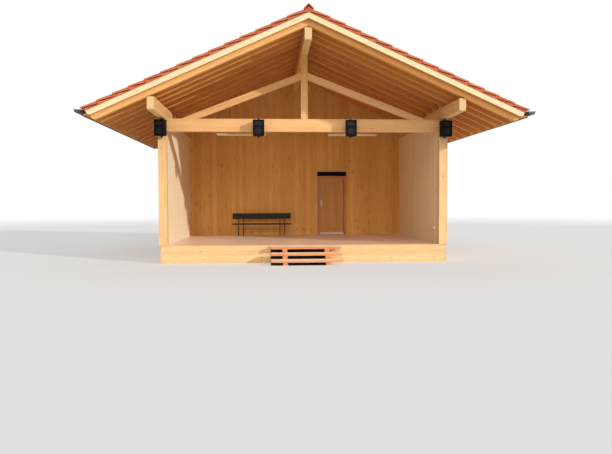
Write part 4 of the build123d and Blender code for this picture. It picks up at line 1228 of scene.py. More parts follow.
@dataclass
class RoofCarpentry:
    """Rafters, blocks between them, roof boards, zinc-clad eaves boards and barge boards."""

    arris: float = 0.004
    rafter_tail: float = 5.530
    rafter_nose: float = 0.110
    block: float = 0.040
    board_width: float = 0.136
    barge_top: float = 0.264
    barge_height: float = 0.135
    barge_thickness: float = 0.040
    barge_tail: float = 5.560
    barge_nose: float = 0.080
    eaves_board: float = 0.025

    def rafters(self, finishes: Finishes) -> None:
        """Builds both rows of rafters, cut over the purlins and rounded at their tails."""
        seat = SITE.post_x - SITE.birdsmouth
        high = SITE.rafter_height
        outline = [(0, SITE.under(0)), (SITE.ridge_x - SITE.ridge_seat, SITE.ridge_top),
                   (SITE.ridge_x, SITE.ridge_top), (SITE.ridge_x, SITE.under(SITE.ridge_x)),
                   (seat, SITE.eaves_purlin_z), (SITE.post_x, SITE.eaves_purlin_z),
                   (SITE.post_x, SITE.under(SITE.post_x)), SITE.on_slope(self.rafter_tail, 0),
                   SITE.on_slope(self.rafter_tail, high), SITE.at_x(0, high)]
        shaped = rounded(outline, 7, self.rafter_nose)
        spans = SITE.rafter_spans()
        for name, mirrored, seed in (("left", True, 41), ("right", False, 42)):
            shape = Shape(seed)
            for index, (front, rear) in enumerate(spans):
                # Rafters between the two verge rafters take the darker copy, painted shade under
                # the roof.
                shape.prism(Axis.Y, shaped, front, rear, self.arris, UP_SLOPE, mirrored,
                            finish=2 if 0 < index < len(spans) - 1 else 0, end_finish=1)
            shape.piece(f"{name}_rafters",
                        [finishes.rafter, finishes.spruce_end, finishes.shaded_inner_rafter],
                        "glulam_spruce", [f"rafters_{name}"])

    def blocks(self, finishes: Finishes) -> None:
        """Builds the boards that close the walls between the rafters."""
        shape = Shape(43)
        inner, outer, high = SITE.post_x - self.block, SITE.post_x, SITE.rafter_height
        outline = [(inner, SITE.eaves_purlin_z), (outer, SITE.eaves_purlin_z),
                   SITE.at_x(outer, high), SITE.at_x(inner, high)]
        spans = SITE.rafter_spans()
        for (_, start), (end, _) in zip(spans[:-1], spans[1:]):
            y0, y1 = max(start, SITE.wall_y), min(end, SITE.back_y)
            if y1 > y0:
                shape.pair(outline, y0, y1, 0.002, ALONG_Y)
        shape.piece("eaves_blocks", [finishes.boards], "spruce_boards", ["rafter_blocks"])

    def boards(self, finishes: Finishes) -> None:
        """Builds the roof boards along the building, three lengths to a row."""
        low, high = SITE.rafter_height, SITE.board_height
        first = -low * math.tan(SITE.slope)
        last = (SITE.roof_edge - high * math.sin(SITE.slope)) / math.cos(SITE.slope)
        rows = round((last - first) / self.board_width)
        lines = np.linspace(first, last, rows + 1).repeat(3)
        end = SITE.verge_y - self.barge_thickness
        middles = np.mean(SITE.rafter_spans(), axis=1)
        cuts = middles[[[4, 9], [6, 11], [2, 8]]][np.arange(rows) % 3]
        starts = stack(-end, cuts[:, 0], cuts[:, 1]).ravel() + 0.0005
        stops = stack(cuts[:, 0], cuts[:, 1], end).ravel() - 0.0005
        points, faces = cut_boxes(stack(lines[:-3], starts, low), stack(lines[3:], stops, high),
                                  0.004)
        for side, name, seed in ((-1, "left", 44), (1, "right", 45)):
            shape = Shape(seed)
            shape.add(on_roof(points, side), faces, ALONG_Y, groups=3 * rows, flip=side < 0)
            shape.piece(f"{name}_roof_planks", [finishes.soffit], "spruce_boards",
                        [f"roof_boards_{name}"])

    def edges(self, finishes: Finishes) -> None:
        """Builds the eaves boards and the barge boards with their rounded lower ends."""
        eaves = Shape(46)
        end = SITE.verge_y - self.barge_thickness
        x0, x1 = SITE.roof_edge, SITE.roof_edge + self.eaves_board
        low, high = SITE.rafter_height, SITE.tile_height
        eaves.pair([SITE.at_x(x0, low), SITE.at_x(x1, low), SITE.at_x(x1, high),
                    SITE.at_x(x0, high)], -end, end, self.arris, ALONG_Y)
        eaves.piece("eaves_planks", [finishes.zinc], "zinc_sheet", ["eaves_boards"])
        top, bottom = self.barge_top, self.barge_top - self.barge_height
        board = rounded([SITE.at_x(0, bottom), SITE.on_slope(self.barge_tail, bottom),
                         SITE.on_slope(self.barge_tail, top), SITE.at_x(0, top)], 1,
                        self.barge_nose)
        for name, mirrored, seed in (("left", True, 47), ("right", False, 48)):
            shape = Shape(seed)
            for start, stop in ((-SITE.verge_y, -end), (end, SITE.verge_y)):
                shape.prism(Axis.Y, board, start, stop, self.arris, UP_SLOPE, mirrored,
                            end_finish=1)
            shape.piece(f"{name}_barge_planks", [finishes.barge, finishes.spruce_end],
                        "glulam_spruce", [f"barge_boards_{name}"])

    def build(self, finishes: Finishes, nodes: dict[str, bpy.types.Object]) -> None:
        """Builds the carpentry of the roof."""
        self.rafters(finishes)
        self.blocks(finishes)
        self.boards(finishes)
        self.edges(finishes)
        dress(nodes["roof_battens"], finishes.core_x)


# Tiles


@dataclass
class Tiles:
    """Courses of interlocking clay tiles, and verge tiles with a side flange."""

    courses: int = 14
    overhang: float = 0.040
    columns: int = 42
    side_y: float = 5.653
    flange: float = 0.018
    thickness: float = 0.014
    head_base: float = 0.012
    foot_base: float = 0.040
    roll: float = 0.026
    lap: float = 0.075
    first_lap: float = 0.035
    flange_drop: float = 0.062
    flange_end: float = 5.580
    flange_setback: float = 0.013
    rim: float = 0.027
    rim_depth: float = 0.026
    slot: float = 0.020
    step: float = 0.050
    head_rise: float = 0.030

    @property
    def gauge(self) -> float:
        """Length of a course along the slope."""
        end = SITE.roof_edge + self.overhang - SITE.tile_height * math.sin(SITE.slope)
        return end / self.courses / math.cos(SITE.slope)

    def section(self, width: float) -> tuple[np.ndarray, np.ndarray]:
        """Height of a tile across its width: a roll at one side, a low rib in the middle and two
        troughs, each a half sine over its own share of the width."""
        share = np.array([0.0, 0.035, 0.075, 0.13, 0.18, 0.33, 0.50, 0.56, 0.62, 0.78, 0.97, 1.0])
        roll = np.where(share < 0.18, np.sin(np.pi * np.clip(share / 0.18, 0, 1)) ** 0.7, 0)
        rib = np.where(np.abs(share - 0.56) < 0.07,
                       0.45 * np.cos(np.pi * (share - 0.56) / 0.14), 0)
        return share * width, self.roll * (roll + rib)

    def build(self, finishes: Finishes) -> None:
        """Builds each slope: a tile is a closed loop in its length (upper face, rounded foot,
        underside) carried across its width, and is copied to each column and course."""
        start, stop = -self.side_y + self.flange, self.side_y - self.flange
        width = (stop - start) / self.columns
        across, lift = self.section(width * 1.02)
        t = self.thickness
        for side, name, seed in ((-1, "left", 51), (1, "right", 52)):
            shape = Shape(seed)
            for course in range(self.courses):
                s0, s1 = course * self.gauge - self.lap, (course + 1) * self.gauge
                length = np.array([s0, s1 - 0.012, s1, s1 - 0.004, s0])
                rise = (self.foot_base - self.head_base) / (s1 - s0)
                base = self.head_base + (length - s0) * rise
                above = np.array([t, t, t * 0.5, 0.0, 0.0])
                high = ((base + above)[:, None] + lift[None, :]).ravel()
                pattern = stack(length.repeat(len(across)), np.tile(across, len(length)),
                                SITE.tile_height + high)
                spots = stack(0.0, start + width * np.arange(self.columns), 0.0)
                points = pattern[None] + (spots + self.draw_slack(shape, self.columns))[:, None]
                faces = self.loop_faces(len(length), len(across))
                shape.add(on_roof(points.reshape(-1, 3), side),
                          copies(faces, len(pattern), self.columns), ALONG_Y,
                          groups=self.columns, flip=side < 0)
            self.verge(shape, side)
            shape.piece(f"{name}_clay_tiles", [finishes.clay], "clay_tile",
                        [f"roof_tiles_{name}"])

    @staticmethod
    def draw_slack(shape: Shape, count: int) -> np.ndarray:
        """Small differences in how the tiles of a course lie, down the slope and in height."""
        down = shape.draws.uniform(-0.003, 0.0, count)
        return stack(down, 0.0, shape.draws.uniform(-0.001, 0.001, count))

    @staticmethod
    def loop_faces(length: int, width: int) -> Faces:
        """Faces of a closed loop of points in the length, carried across the width."""
        i = np.repeat(np.arange(length), width - 1)
        j = np.tile(np.arange(width - 1), length)
        k = (i + 1) % length
        sides = stack(i * width + j, k * width + j, k * width + j + 1, i * width + j + 1)
        ends = np.arange(length) * width
        return [sides, ends[None, ::-1], (ends + width - 1)[None]]

    def verge(self, shape: Shape, side: int) -> None:
        """Adds the verge tiles' edges at both ends. Each course has a thick rim that rises down
        the slope, a flange under it as straight as the barge board, and a dark gap between them
        that a rib closes at the course's foot."""
        low, rise = -self.flange_drop, self.step + 0.012
        last = self.flange_end / math.cos(SITE.slope)
        for course in range(self.courses):
            s0, s1 = course * self.gauge, (course + 1) * self.gauge
            high = np.array([self.head_rise - 0.024, self.head_rise - 0.024 + rise])
            if not course:
                s0 -= self.first_lap
            tone = shape.draws.uniform(0.35, 0.85)
            foot = min(s1, last)
            top = high - self.rim - self.slot
            top[1] += (top[1] - top[0]) * (foot - s1) / (s1 - s0)
            rim = [(s0, high[0] - self.rim), (s1, high[1] - self.rim), (s1, high[1]),
                   (s0, high[0])]
            flange = [(s0, low), (foot, low), (foot, top[1]), (s0, top[0])]
            rib = [(foot - 0.014, low), (foot, low), (foot, high[1] - 0.01),
                   (foot - 0.014, high[1] - 0.012)]
            # The rim's tone is made paler than the flange's, painted light on its upper edge, and
            # the rib's a little paler too.
            for outline, depth, setback, fade in ((rim, self.rim_depth, 0.0, 0.25),
                                                  (flange, 0.010, self.flange_setback, 1.0),
                                                  (rib, 0.012, self.flange_setback - 0.002, 0.8)):
                points, faces = prism(eased(np.array(outline), 0.005), 0, depth, 0.0035)
                points = points[:, [0, 2, 1]] + (0, 0, SITE.tile_height)
                for y in (-self.side_y + setback, self.side_y - setback - depth):
                    shape.add(on_roof(points + (0, y, 0), side), faces, UP_SLOPE,
                              flip=side > 0, tone=tone * fade)


@dataclass
class RidgeTiles:
    """Angled ridge tiles with a rounded crown, each lapped over the next, on a bed."""

    half: float = 0.132
    apex: float = 6.855
    drop: float = 0.132
    side_slope: float = math.radians(45)
    crown: float = 0.022
    wall: float = 0.018
    count: int = 30
    collar: float = 0.006
    collar_length: float = 0.055
    side_y: float = 5.653
    bed_half: float = 0.115
    bed_levels: tuple[float, float, float] = (6.627, 6.695, 6.775)

    def outline(self, shrink: float, foot: float) -> np.ndarray:
        """Section from foot to foot: a short plumb lip at each side, and two sloping sides that
        an arc joins at the crown, crown * (1 / cos(slope) - 1) under their corner."""
        half = self.half - shrink
        cosine = math.cos(self.side_slope)
        top = self.apex + self.crown * (1 / cosine - 1) - shrink / cosine
        lip = top - half * math.tan(self.side_slope)
        corners = [(-half, min(foot, lip - 0.004)), (-half, lip), (0.0, top), (half, lip),
                   (half, min(foot, lip - 0.004))]
        return rounded(corners, 2, max(self.crown - shrink, 0.006), 7)

    def build(self, finishes: Finishes) -> None:
        """Builds the row of ridge tiles: a closed section carried along Y through four stations,
        of which the first two are wider by the collar. They lie on a bed whose ends show."""
        shape = Shape(53)
        foot = self.apex - self.drop
        section = np.concatenate([self.outline(self.collar, foot),
                                  self.outline(self.collar + self.wall, foot)[::-1]])
        wide = np.concatenate([self.outline(0, foot), self.outline(self.wall, foot)[::-1]])
        starts = np.linspace(-self.side_y, self.side_y, self.count + 1)
        for y0, y1 in zip(starts[:-1], starts[1:]):
            neck = y0 + self.collar_length
            stations = [(wide, y0), (wide, neck), (section, neck + 0.005), (section, y1)]
            points = np.concatenate([stack(ring[:, 0], y, ring[:, 1]) for ring, y in stations])
            shape.add(points, woven(4, len(section), True, True), ALONG_Y)
        low, middle, high = self.bed_levels
        bed = [(-self.bed_half, low), (self.bed_half, low), (self.bed_half, middle),
               (0.0, high), (-self.bed_half, middle)]
        end = self.side_y - 0.006
        shape.prism(Axis.Y, bed, -end, end, 0.003, ALONG_Z, tone=np.array(0.9))
        shape.piece("clay_ridge_tiles", [finishes.clay], "clay_tile", ["ridge_cap"])


# Gutters


@dataclass
class Gutters:
    """Half-round zinc gutters with a beaded rim, soldered joints, end caps and strap brackets."""

    x: float = 5.863
    z: float = 4.132
    radius: float = 0.095
    wall: float = 0.003
    bead: float = 0.009
    end: float = 5.618
    lengths: int = 4
    sleeve: float = 0.020
    cap: float = 0.004
    strap: tuple[float, float] = (0.030, 0.005)
    strap_drop: float = 0.018
    tongue: float = 0.024

    def half_ring(self, outer: float, inner: float, stop: float = math.tau) -> np.ndarray:
        """Outline between two half circles under the centre line, closed at both rims."""
        angle = np.linspace(math.pi, stop, 19)
        ring = np.column_stack([np.cos(angle), np.sin(angle)])
        return np.array([self.x, self.z]) + np.concatenate([ring * outer, ring[::-1] * inner])

    def build(self, finishes: Finishes) -> None:
        """Builds both gutters and their brackets."""
        gutter, strap = Shape(61), Shape(62)
        shell = self.half_ring(self.radius, self.radius - self.wall)
        joint = self.half_ring(self.radius + 0.0015, self.radius)
        cap = self.half_ring(self.radius, 0.0005)
        joints = np.linspace(-self.end, self.end, self.lengths + 1)[1:-1]
        spans = SITE.rafter_spans()
        middles = [(a[1] + b[0]) / 2 for a, b in zip(spans[:-1], spans[1:])]
        rim = self.x + self.radius - self.bead / 2
        band = self.half_ring(self.radius + self.strap[1], self.radius,
                              math.tau - math.asin(self.strap_drop / self.radius))
        face = SITE.roof_edge + 0.025
        for mirrored in (False, True):
            side = -1 if mirrored else 1
            gutter.prism(Axis.Y, shell, -self.end, self.end, 0, ALONG_Y, mirrored)
            for y in joints:
                gutter.prism(Axis.Y, joint, y - self.sleeve, y + self.sleeve, 0, ALONG_Y, mirrored)
            inner = self.end - self.cap
            for y0, y1 in ((-self.end, -inner), (inner, self.end)):
                gutter.prism(Axis.Y, cap, y0, y1, 0, ALONG_Y, mirrored)
            for y in (-inner, inner):
                arc = self.half_ring(self.radius - 0.001, self.radius)[:19]
                gutter.tube(stack(side * arc[:, 0], y, arc[:, 1]), 0.004, 6)
            gutter.tube([(side * rim, -self.end, self.z), (side * rim, self.end, self.z)],
                        self.bead, 10)
            for y in middles:
                y0, y1 = y - self.strap[0] / 2, y + self.strap[0] / 2
                strap.prism(Axis.Y, band, y0, y1, 0, ALONG_Y, mirrored)
                x0, x1 = sided(side, face, self.x - self.radius)
                strap.boxes((x0, y0, self.z - self.tongue), (x1, y1, self.z), 0.001, ALONG_Y)
        gutter.piece("zinc_gutters", [finishes.zinc], "zinc_sheet", ["gutters"])
        strap.piece("zinc_brackets", [finishes.zinc], "zinc_sheet", ["gutter_brackets"])


# Steps


@dataclass
class Steps:
    """Three open steps of two planks each on two stepped stringers."""

    centre: float = 0.020
    width: float = 2.020
    rise: float = 0.165
    going: float = 0.300
    top_drop: float = 0.020
    plank: float = 0.080
    stringer: float = 0.137
    spacing: float = 1.210
    setback: float = 0.040
    gap: float = 0.008
    screw_inset: float = 0.035

    def edge(self, step: int) -> tuple[float, float, float]:
        """Front, rear and top of a tread, counted down from the floor."""
        rear = SITE.wall_y + 0.020 - step * self.going
        return rear - self.going, rear, SITE.deck - self.top_drop - step * self.rise

    def build(self, finishes: Finishes) -> None:
        """Builds the planks with their screws, and the stringers."""
        treads, bearers = Shape(71), Shape(72)
        x0, x1 = self.centre - self.width / 2, self.centre + self.width / 2
        middles = [self.centre + side * self.spacing / 2 for side in (-1, 1)]
        outline = [(self.edge(0)[1], 0.0)]
        for step in range(3):
            front, rear, top = self.edge(step)
            half = (self.going - self.gap) / 2
            for y0, y1 in ((front, front + half), (rear - half, rear - 0.001)):
                # Level faces of the treads, tops and undersides, take the paler copy, painted
                # light.
                treads.boxes((x0, y0, top - self.plank), (x1, y1, top), 0.012, ALONG_X,
                             end_finish=1, top_finish=3)
                inset = self.screw_inset
                heads = [(x + side * inset, y, top) for x in middles for side in (-1, 1)
                         for y in (y0 + inset, y1 - inset)]
                treads.scatter(screws(0.007, 0.0012, ALONG_Z), heads, finish=2)
            end = front + (self.setback if step == 2 else 0)
            outline += [(rear, top - self.plank), (end, top - self.plank)]
        outline.append((end, 0.0))
        for middle in middles:
            bearers.prism(Axis.X, outline, middle - self.stringer / 2, middle + self.stringer / 2,
                          0.005, ALONG_Y, end_finish=1)
        # A matt black sheet behind and under the steps paints the shade in the gaps between them.
        right, wall = middles[1] + self.stringer / 2, self.edge(0)[1]
        for low, high in (((x0, wall - 0.004, 0.0), (right, wall - 0.001, SITE.deck - 0.1)),
                          ((x0, end + 0.01, 0.0005), (right, wall - 0.004, 0.003))):
            bearers.boxes(low, high, 0.0003, ALONG_X, finish=2)
        treads.piece("larch_treads", [finishes.larch, finishes.larch_end, finishes.screw,
                                      finishes.lit_level_tread_faces], "larch_steps", ["step_treads"])
        bearers.piece("larch_stringers", [finishes.larch, finishes.larch_end, finishes.step_shade_sheet],
                      "larch_steps", ["step_stringers"])


# Loudspeakers and lamps


@dataclass
class Loudspeakers:
    """Two-way cabinets on strap yokes: moulded shell, baffle, woofer and horn."""

    width: float = 0.325
    back_width: float = 0.200
    depth: float = 0.260
    height: float = 0.458
    pivot_y: float = -3.660
    z: float = 3.882
    places: tuple[tuple[float, float], ...] = ((-4.070, -24.0), (-1.320, 0.0), (1.320, 0.0),
                                               (4.070, 24.0))
    corner: float = 0.018
    lip: float = 0.014
    edge: float = 0.012
    woofer: float = 0.098
    woofer_z: float = -0.085
    horn: tuple[float, float] = (0.110, 0.058)
    horn_z: float = 0.125
    horn_power: float = 4.0
    yoke_width: float = 0.040
    yoke_thickness: float = 0.006
    yoke_gap: float = 0.006

    @staticmethod
    def curve(ray: np.ndarray, hole: tuple[float, float], power: float) -> np.ndarray:
        """Points where rays from the middle meet |x / a| ** power + |z / b| ** power = 1."""
        return ray / np.sum((np.abs(ray) / hole) ** power, axis=1, keepdims=True) ** (1 / power)

    def plate(self, half: tuple[float, float], z: float, hole: tuple[float, float],
              power: float) -> tuple[np.ndarray, Faces]:
        """Flat plate with a rounded hole: for each angle one point lies on the rectangle and one
        on the curve |x / a| ** power + |z / b| ** power = 1.

        Args:
            half: Half width and half height of the plate.
            z: Height of the plate's middle in the cabinet's front.
            hole: Half width and half height of the hole.
            power: 2 for an ellipse, more for a squarer hole.

        Returns:
            Points in the plane y = 0 that faces -Y, and the faces.
        """
        corner = math.atan2(half[1], half[0])
        angle = np.unique(np.concatenate([np.linspace(0, math.tau, 41)[:-1],
                                          [corner, math.pi - corner, math.pi + corner,
                                           math.tau - corner]]))
        ray = np.column_stack([np.cos(angle), np.sin(angle)])
        outer = ray / np.max(np.abs(ray) / half, axis=1, keepdims=True)
        inner = self.curve(ray, hole, power)
        flat = np.concatenate([outer, inner]) + (0, z)
        return stack(flat[:, 0], 0.0, flat[:, 1]), woven(2, len(angle), True, False)

    def flare(self, y: float) -> tuple[np.ndarray, Faces]:
        """Funnel behind the horn's hole in the plane y: the hole's curve shrunk by a share at
        each depth, and closed at the throat."""
        curve = self.curve(circle(1.0, 40), self.horn, self.horn_power)
        stations = ((1.0, 0.002), (0.97, 0.0015), (0.9, 0.001), (0.3, 0.0007))
        rings = [stack(curve[:, 0] * share, y - lift, curve[:, 1] * share + self.horn_z)
                 for share, lift in stations]
        sides, _, throat = woven(len(rings), len(curve), True, True)
        return np.concatenate(rings), [sides[:, ::-1], throat[:, ::-1]]

    def cabinet(self, shape: Shape, x: float, turn: float) -> None:
        """Adds one cabinet, built square to Y and then turned about its pivot."""
        local = Shape(81)
        front, back = self.width / 2, self.back_width / 2
        depth, height = self.depth / 2, self.height / 2
        plan = np.array([(-front, -depth), (front, -depth), (back, depth), (-back, depth)])
        for index in (3, 2, 1, 0):
            plan = rounded(plan, index, self.corner, 8)
        plan[:, 1] = np.maximum(plan[:, 1], -depth + self.lip)
        local.prism(Axis.Z, plan, -height, height, 0.006, ALONG_Z)
        y = -depth + self.lip - 0.0005
        for low, high in ((-height, -height + self.edge), (height - self.edge, height)):
            local.boxes((-front, -depth, low), (front, y + 0.001, high), 0.003, ALONG_X)
        for low, high in ((-front, -front + self.edge), (front - self.edge, front)):
            local.boxes((low, -depth, -height), (high, y + 0.001, height), 0.003, ALONG_Z)
        woofer = (self.woofer, self.woofer)
        for half, z, hole, power in ((0.125, self.woofer_z, woofer, 2.0),
                                     (0.085, self.horn_z, self.horn, self.horn_power)):
            points, faces = self.plate((front - 0.010, half), z, hole, power)
            local.add(points + (0, y - 0.002, 0), faces, flip=True)
        local.add(*self.flare(y), finish=1)
        cone = [(self.woofer, 0.000), (self.woofer, 0.006), (self.woofer - 0.006, 0.010),
                (self.woofer - 0.014, 0.006), (self.woofer - 0.016, 0.003), (0.040, 0.001),
                (0.036, 0.004), (0.020, 0.009), (0.004, 0.010)]
        local.turned(cone, 32, (0, y - 0.0015, self.woofer_z), (0, -1, 0), finish=1)
        heads = [(sx * (front - 0.022), y - 0.002, z) for sx in (-1, 1)
                 for z in (-0.195, 0.030, 0.195)]
        local.scatter(screws(0.005, 0.003, (0, -1, 0)), heads, finish=2)
        angle = math.radians(turn)
        cosine, sine = math.cos(angle), math.sin(angle)
        turning = np.array([[cosine, -sine, 0], [sine, cosine, 0], [0, 0, 1]])
        shape.take(local, turning, (x, self.pivot_y, self.z))

    def yoke(self, shape: Shape, x: float) -> None:
        """Adds a strap bent round the cabinet's top and bottom, with a knob at each pivot."""
        half, reach = self.yoke_width / 2, self.height / 2 + self.yoke_gap
        t, front = self.yoke_thickness, self.pivot_y - half
        wall = SITE.wall_y
        shape.boxes((x - half, wall - t, self.z - reach - t), (x + half, wall, self.z + reach + t),
                    0.001, ALONG_Z)
        for side in (-1, 1):
            low, high = sorted((self.z + side * reach, self.z + side * (reach + t)))
            shape.boxes((x - half, front, low), (x + half, wall - t, high), 0.001, ALONG_Y)
            base = self.z + side * self.height / 2
            shape.turned([(0.010, 0), (0.010, self.yoke_gap)], 16, (x, self.pivot_y, base),
                         (0, 0, side))
            shape.turned([(0.026, 0), (0.026, 0.026), (0.020, 0.034), (0.006, 0.036)], 14,
                         (x, self.pivot_y, self.z + side * (reach + t)), (0, 0, side))
        shape.scatter(screws(0.009, 0.006, (0, -1, 0)),
                      [(x, wall - t, self.z + dz) for dz in (-0.030, 0.170)])

    def build(self, finishes: Finishes) -> None:
        """Builds the four cabinets and their yokes."""
        cabinets, yokes = Shape(82), Shape(83)
        for x, turn in self.places:
            self.cabinet(cabinets, x, turn)
            self.yoke(yokes, x)
        cabinets.piece("loudspeaker_cabinets", [finishes.cabinet, finishes.cone,
                                                finishes.black_steel],
                       "speaker_black", ["speakers"])
        yokes.piece("steel_yokes", [finishes.black_steel], "black_steel", ["speaker_yokes"])


@dataclass
class Lamps:
    """Two long lamps over the stage: a tray, an opal cover, end caps and clips, on two rods."""

    length: float = 1.520
    width: float = 0.100
    height: float = 0.085
    top: float = 3.915
    centres: tuple[float, float] = (-1.868, 1.590)
    slant: float = 0.028
    seam: float = 0.042
    cap: float = 0.012
    clips: int = 5
    rafter: int = 5
    rod_inset: float = 0.240
    rod_radius: float = 0.002

    def build(self, finishes: Finishes) -> None:
        """Builds the lamps and the rods up to the rafter over them."""
        trays, covers, rods = Shape(91), Shape(92), Shape(93)
        y = sum(SITE.rafter_spans()[self.rafter]) / 2
        half, middle = self.width / 2, self.top - self.seam
        bottom = self.top - self.height
        tray = [(y - half, middle), (y + half, middle), (y + half, self.top - self.slant),
                (y + half - self.slant, self.top), (y - half + self.slant, self.top),
                (y - half, self.top - self.slant)]
        cover = [(y - half + 0.004, middle), (y - half + 0.004, bottom + self.slant),
                 (y - half + self.slant, bottom + 0.002), (y + half - self.slant, bottom + 0.002),
                 (y + half - 0.004, bottom + self.slant), (y + half - 0.004, middle)]
        for centre in self.centres:
            x0, x1 = centre - self.length / 2, centre + self.length / 2
            trays.prism(Axis.X, tray, x0 + self.cap, x1 - self.cap, 0.002, ALONG_X)
            covers.prism(Axis.X, cover, x0 + self.cap, x1 - self.cap, 0.002, ALONG_X)
            for end in (x0, x1 - 0.014):
                trays.prism(Axis.X, [*cover[1:5], *tray[2:]], end, end + 0.014, 0.003, ALONG_X)
            for x in np.linspace(x0 + 0.12, x1 - 0.12, self.clips):
                for side in (-1, 1):
                    y0, y1 = sorted((y + side * (half - 0.004), y + side * half))
                    trays.boxes((x - 0.010, y0, middle - 0.016), (x + 0.010, y1, middle + 0.014),
                                0.001, ALONG_Z, finish=1)
            for side in (-1, 1):
                x = centre + side * (self.length / 2 - self.rod_inset)
                top = SITE.under(abs(x) + self.rod_radius)
                rods.tube([(x, y, self.top), (x, y, top)], self.rod_radius, 10)
                rods.turned([(0.014, 0), (0.014, 0.008), (0.008, 0.014), (0.006, 0.015)], 12,
                            (x, y, self.top))
        trays.piece("lamp_trays", [finishes.lamp, finishes.steel], "lamp_white", ["lamps"])
        covers.piece("lamp_covers", [finishes.opal], "lamp_white")
        rods.piece("steel_lamp_rods", [finishes.steel], "brushed_steel", ["lamp_rods"])


# Door


@dataclass
class StageDoor:
    """Boarded door in the partition with its frame, handle, weather bar, hinges and transom."""

    left: float = 0.815
    right: float = 1.923
    frame_top: float = 2.740
    jamb: float = 0.095
    trim: float = 0.055
    head: float = 0.080
    leaf: tuple[float, float, float, float] = (0.915, 1.823, 0.523, 2.655)
    leaf_y: tuple[float, float] = (2.680, 2.740)
    transom_top: float = 2.905
    pane_inset: float = 0.040
    boards: int = 5
    rail: float = 0.110
    lever: tuple[float, float] = (0.048, 0.116)
    handle_z: float = 1.695
    handle_inset: float = 0.055

    def surround(self, finishes: Finishes) -> None:
        """Builds the frame's jambs and head, its trim, and the glazed transom over it."""
        frame, pane = Shape(101), Shape(102)
        y0, y1 = SITE.partition_y, SITE.partition_rear_y
        for x0, x1 in ((self.left, self.left + self.jamb), (self.right - self.jamb, self.right)):
            frame.boxes((x0, y0, SITE.deck), (x1, y1, self.frame_top - self.head), 0.004, ALONG_Z)
        frame.boxes((self.left, y0, self.frame_top - self.head), (self.right, y1, self.frame_top),
                    0.004, ALONG_X)
        for low, high in (((self.left - self.trim, SITE.deck + 0.001),
                           (self.left - 0.004, self.transom_top)),
                          ((self.left - self.trim, self.transom_top + 0.001),
                           (self.right, self.transom_top + 0.035))):
            frame.boxes((low[0], y0 - 0.012, low[1]), (high[0], y0 + 0.001, high[1]), 0.002,
                        ALONG_Z, finish=1)
        frame.piece("door_surround", [finishes.frame, finishes.boards], "door_wood",
                    ["door_frame"])
        middle = SITE.partition_y + self.pane_inset
        pane.boxes((self.left, middle, self.frame_top), (self.right, middle + 0.008,
                                                          self.transom_top), 0.001, ALONG_X)
        pane.piece("transom_glass", [finishes.glass], "dark_glass", ["transom_pane"])

    def panel(self, finishes: Finishes) -> None:
        """Builds the leaf of upright boards between two rails, and the weather bar."""
        leaf, bar = Shape(103), Shape(104)
        x0, x1, z0, z1 = self.leaf
        y0, y1 = self.leaf_y
        rail = self.rail
        lines = np.linspace(x0, x1, self.boards + 1)
        leaf.boxes(stack(lines[:-1], y0 + 0.006, z0 + rail),
                   stack(lines[1:], y1 - 0.006, z1 - rail), 0.004, ALONG_Z)
        for low, high in ((z0, z0 + rail), (z1 - rail, z1)):
            leaf.boxes((x0, y0, low), (x1, y1, high), 0.003, ALONG_X)
        leaf.piece("boarded_leaf", [finishes.door], "door_wood", ["door_leaf"], DOOR)
        outline = [(y0, z0), (y0 - 0.014, z0), (y0 - 0.014, z0 + 0.035), (y0, z0 + 0.070)]
        bar.prism(Axis.X, outline, x0, x1, 0.002, ALONG_X)
        bar.piece("aluminium_weather_bar", [finishes.bar], "brushed_steel", ["door_weather_bar"],
                  DOOR)

    def handle(self, finishes: Finishes) -> None:
        """Builds on each face a plate, a collar and a lever bent from round bar, and a keyhole
        collar below it."""
        shape = Shape(105)
        x = self.leaf[0] + self.handle_inset
        for y, out in ((self.leaf_y[0], -1), (self.leaf_y[1], 1)):
            low, high = sorted((y, y + out * 0.004))
            shape.boxes((x - 0.016, low, self.handle_z - 0.140),
                        (x + 0.016, high, self.handle_z + 0.140), 0.0015, ALONG_Z)
            free, reach = y + out * self.lever[0], x + self.lever[1]
            path = bent([(x, y, self.handle_z), (x, free, self.handle_z),
                         (reach, free, self.handle_z)], 0.018)
            shape.tube(path, 0.009, 12)
            for z, radius in ((self.handle_z, 0.015), (self.handle_z - 0.075, 0.010)):
                shape.turned([(radius, 0), (radius, 0.004), (radius * 0.8, 0.006),
                              (radius * 0.3, 0.006)], 16, (x, y + out * 0.004, z), (0, out, 0))
        shape.piece("steel_lever_handle", [finishes.steel], "brushed_steel", ["door_handle"],
                    DOOR)

    def build(self, finishes: Finishes, nodes: dict[str, bpy.types.Object]) -> None:
        """Builds the door, and dresses its hinges."""
        self.surround(finishes)
        self.panel(finishes)
        self.handle(finishes)
        for name in ("hinge_frame_halves", "hinge_leaf_halves"):
            dress(nodes[name], finishes.steel)


# Bench and socket


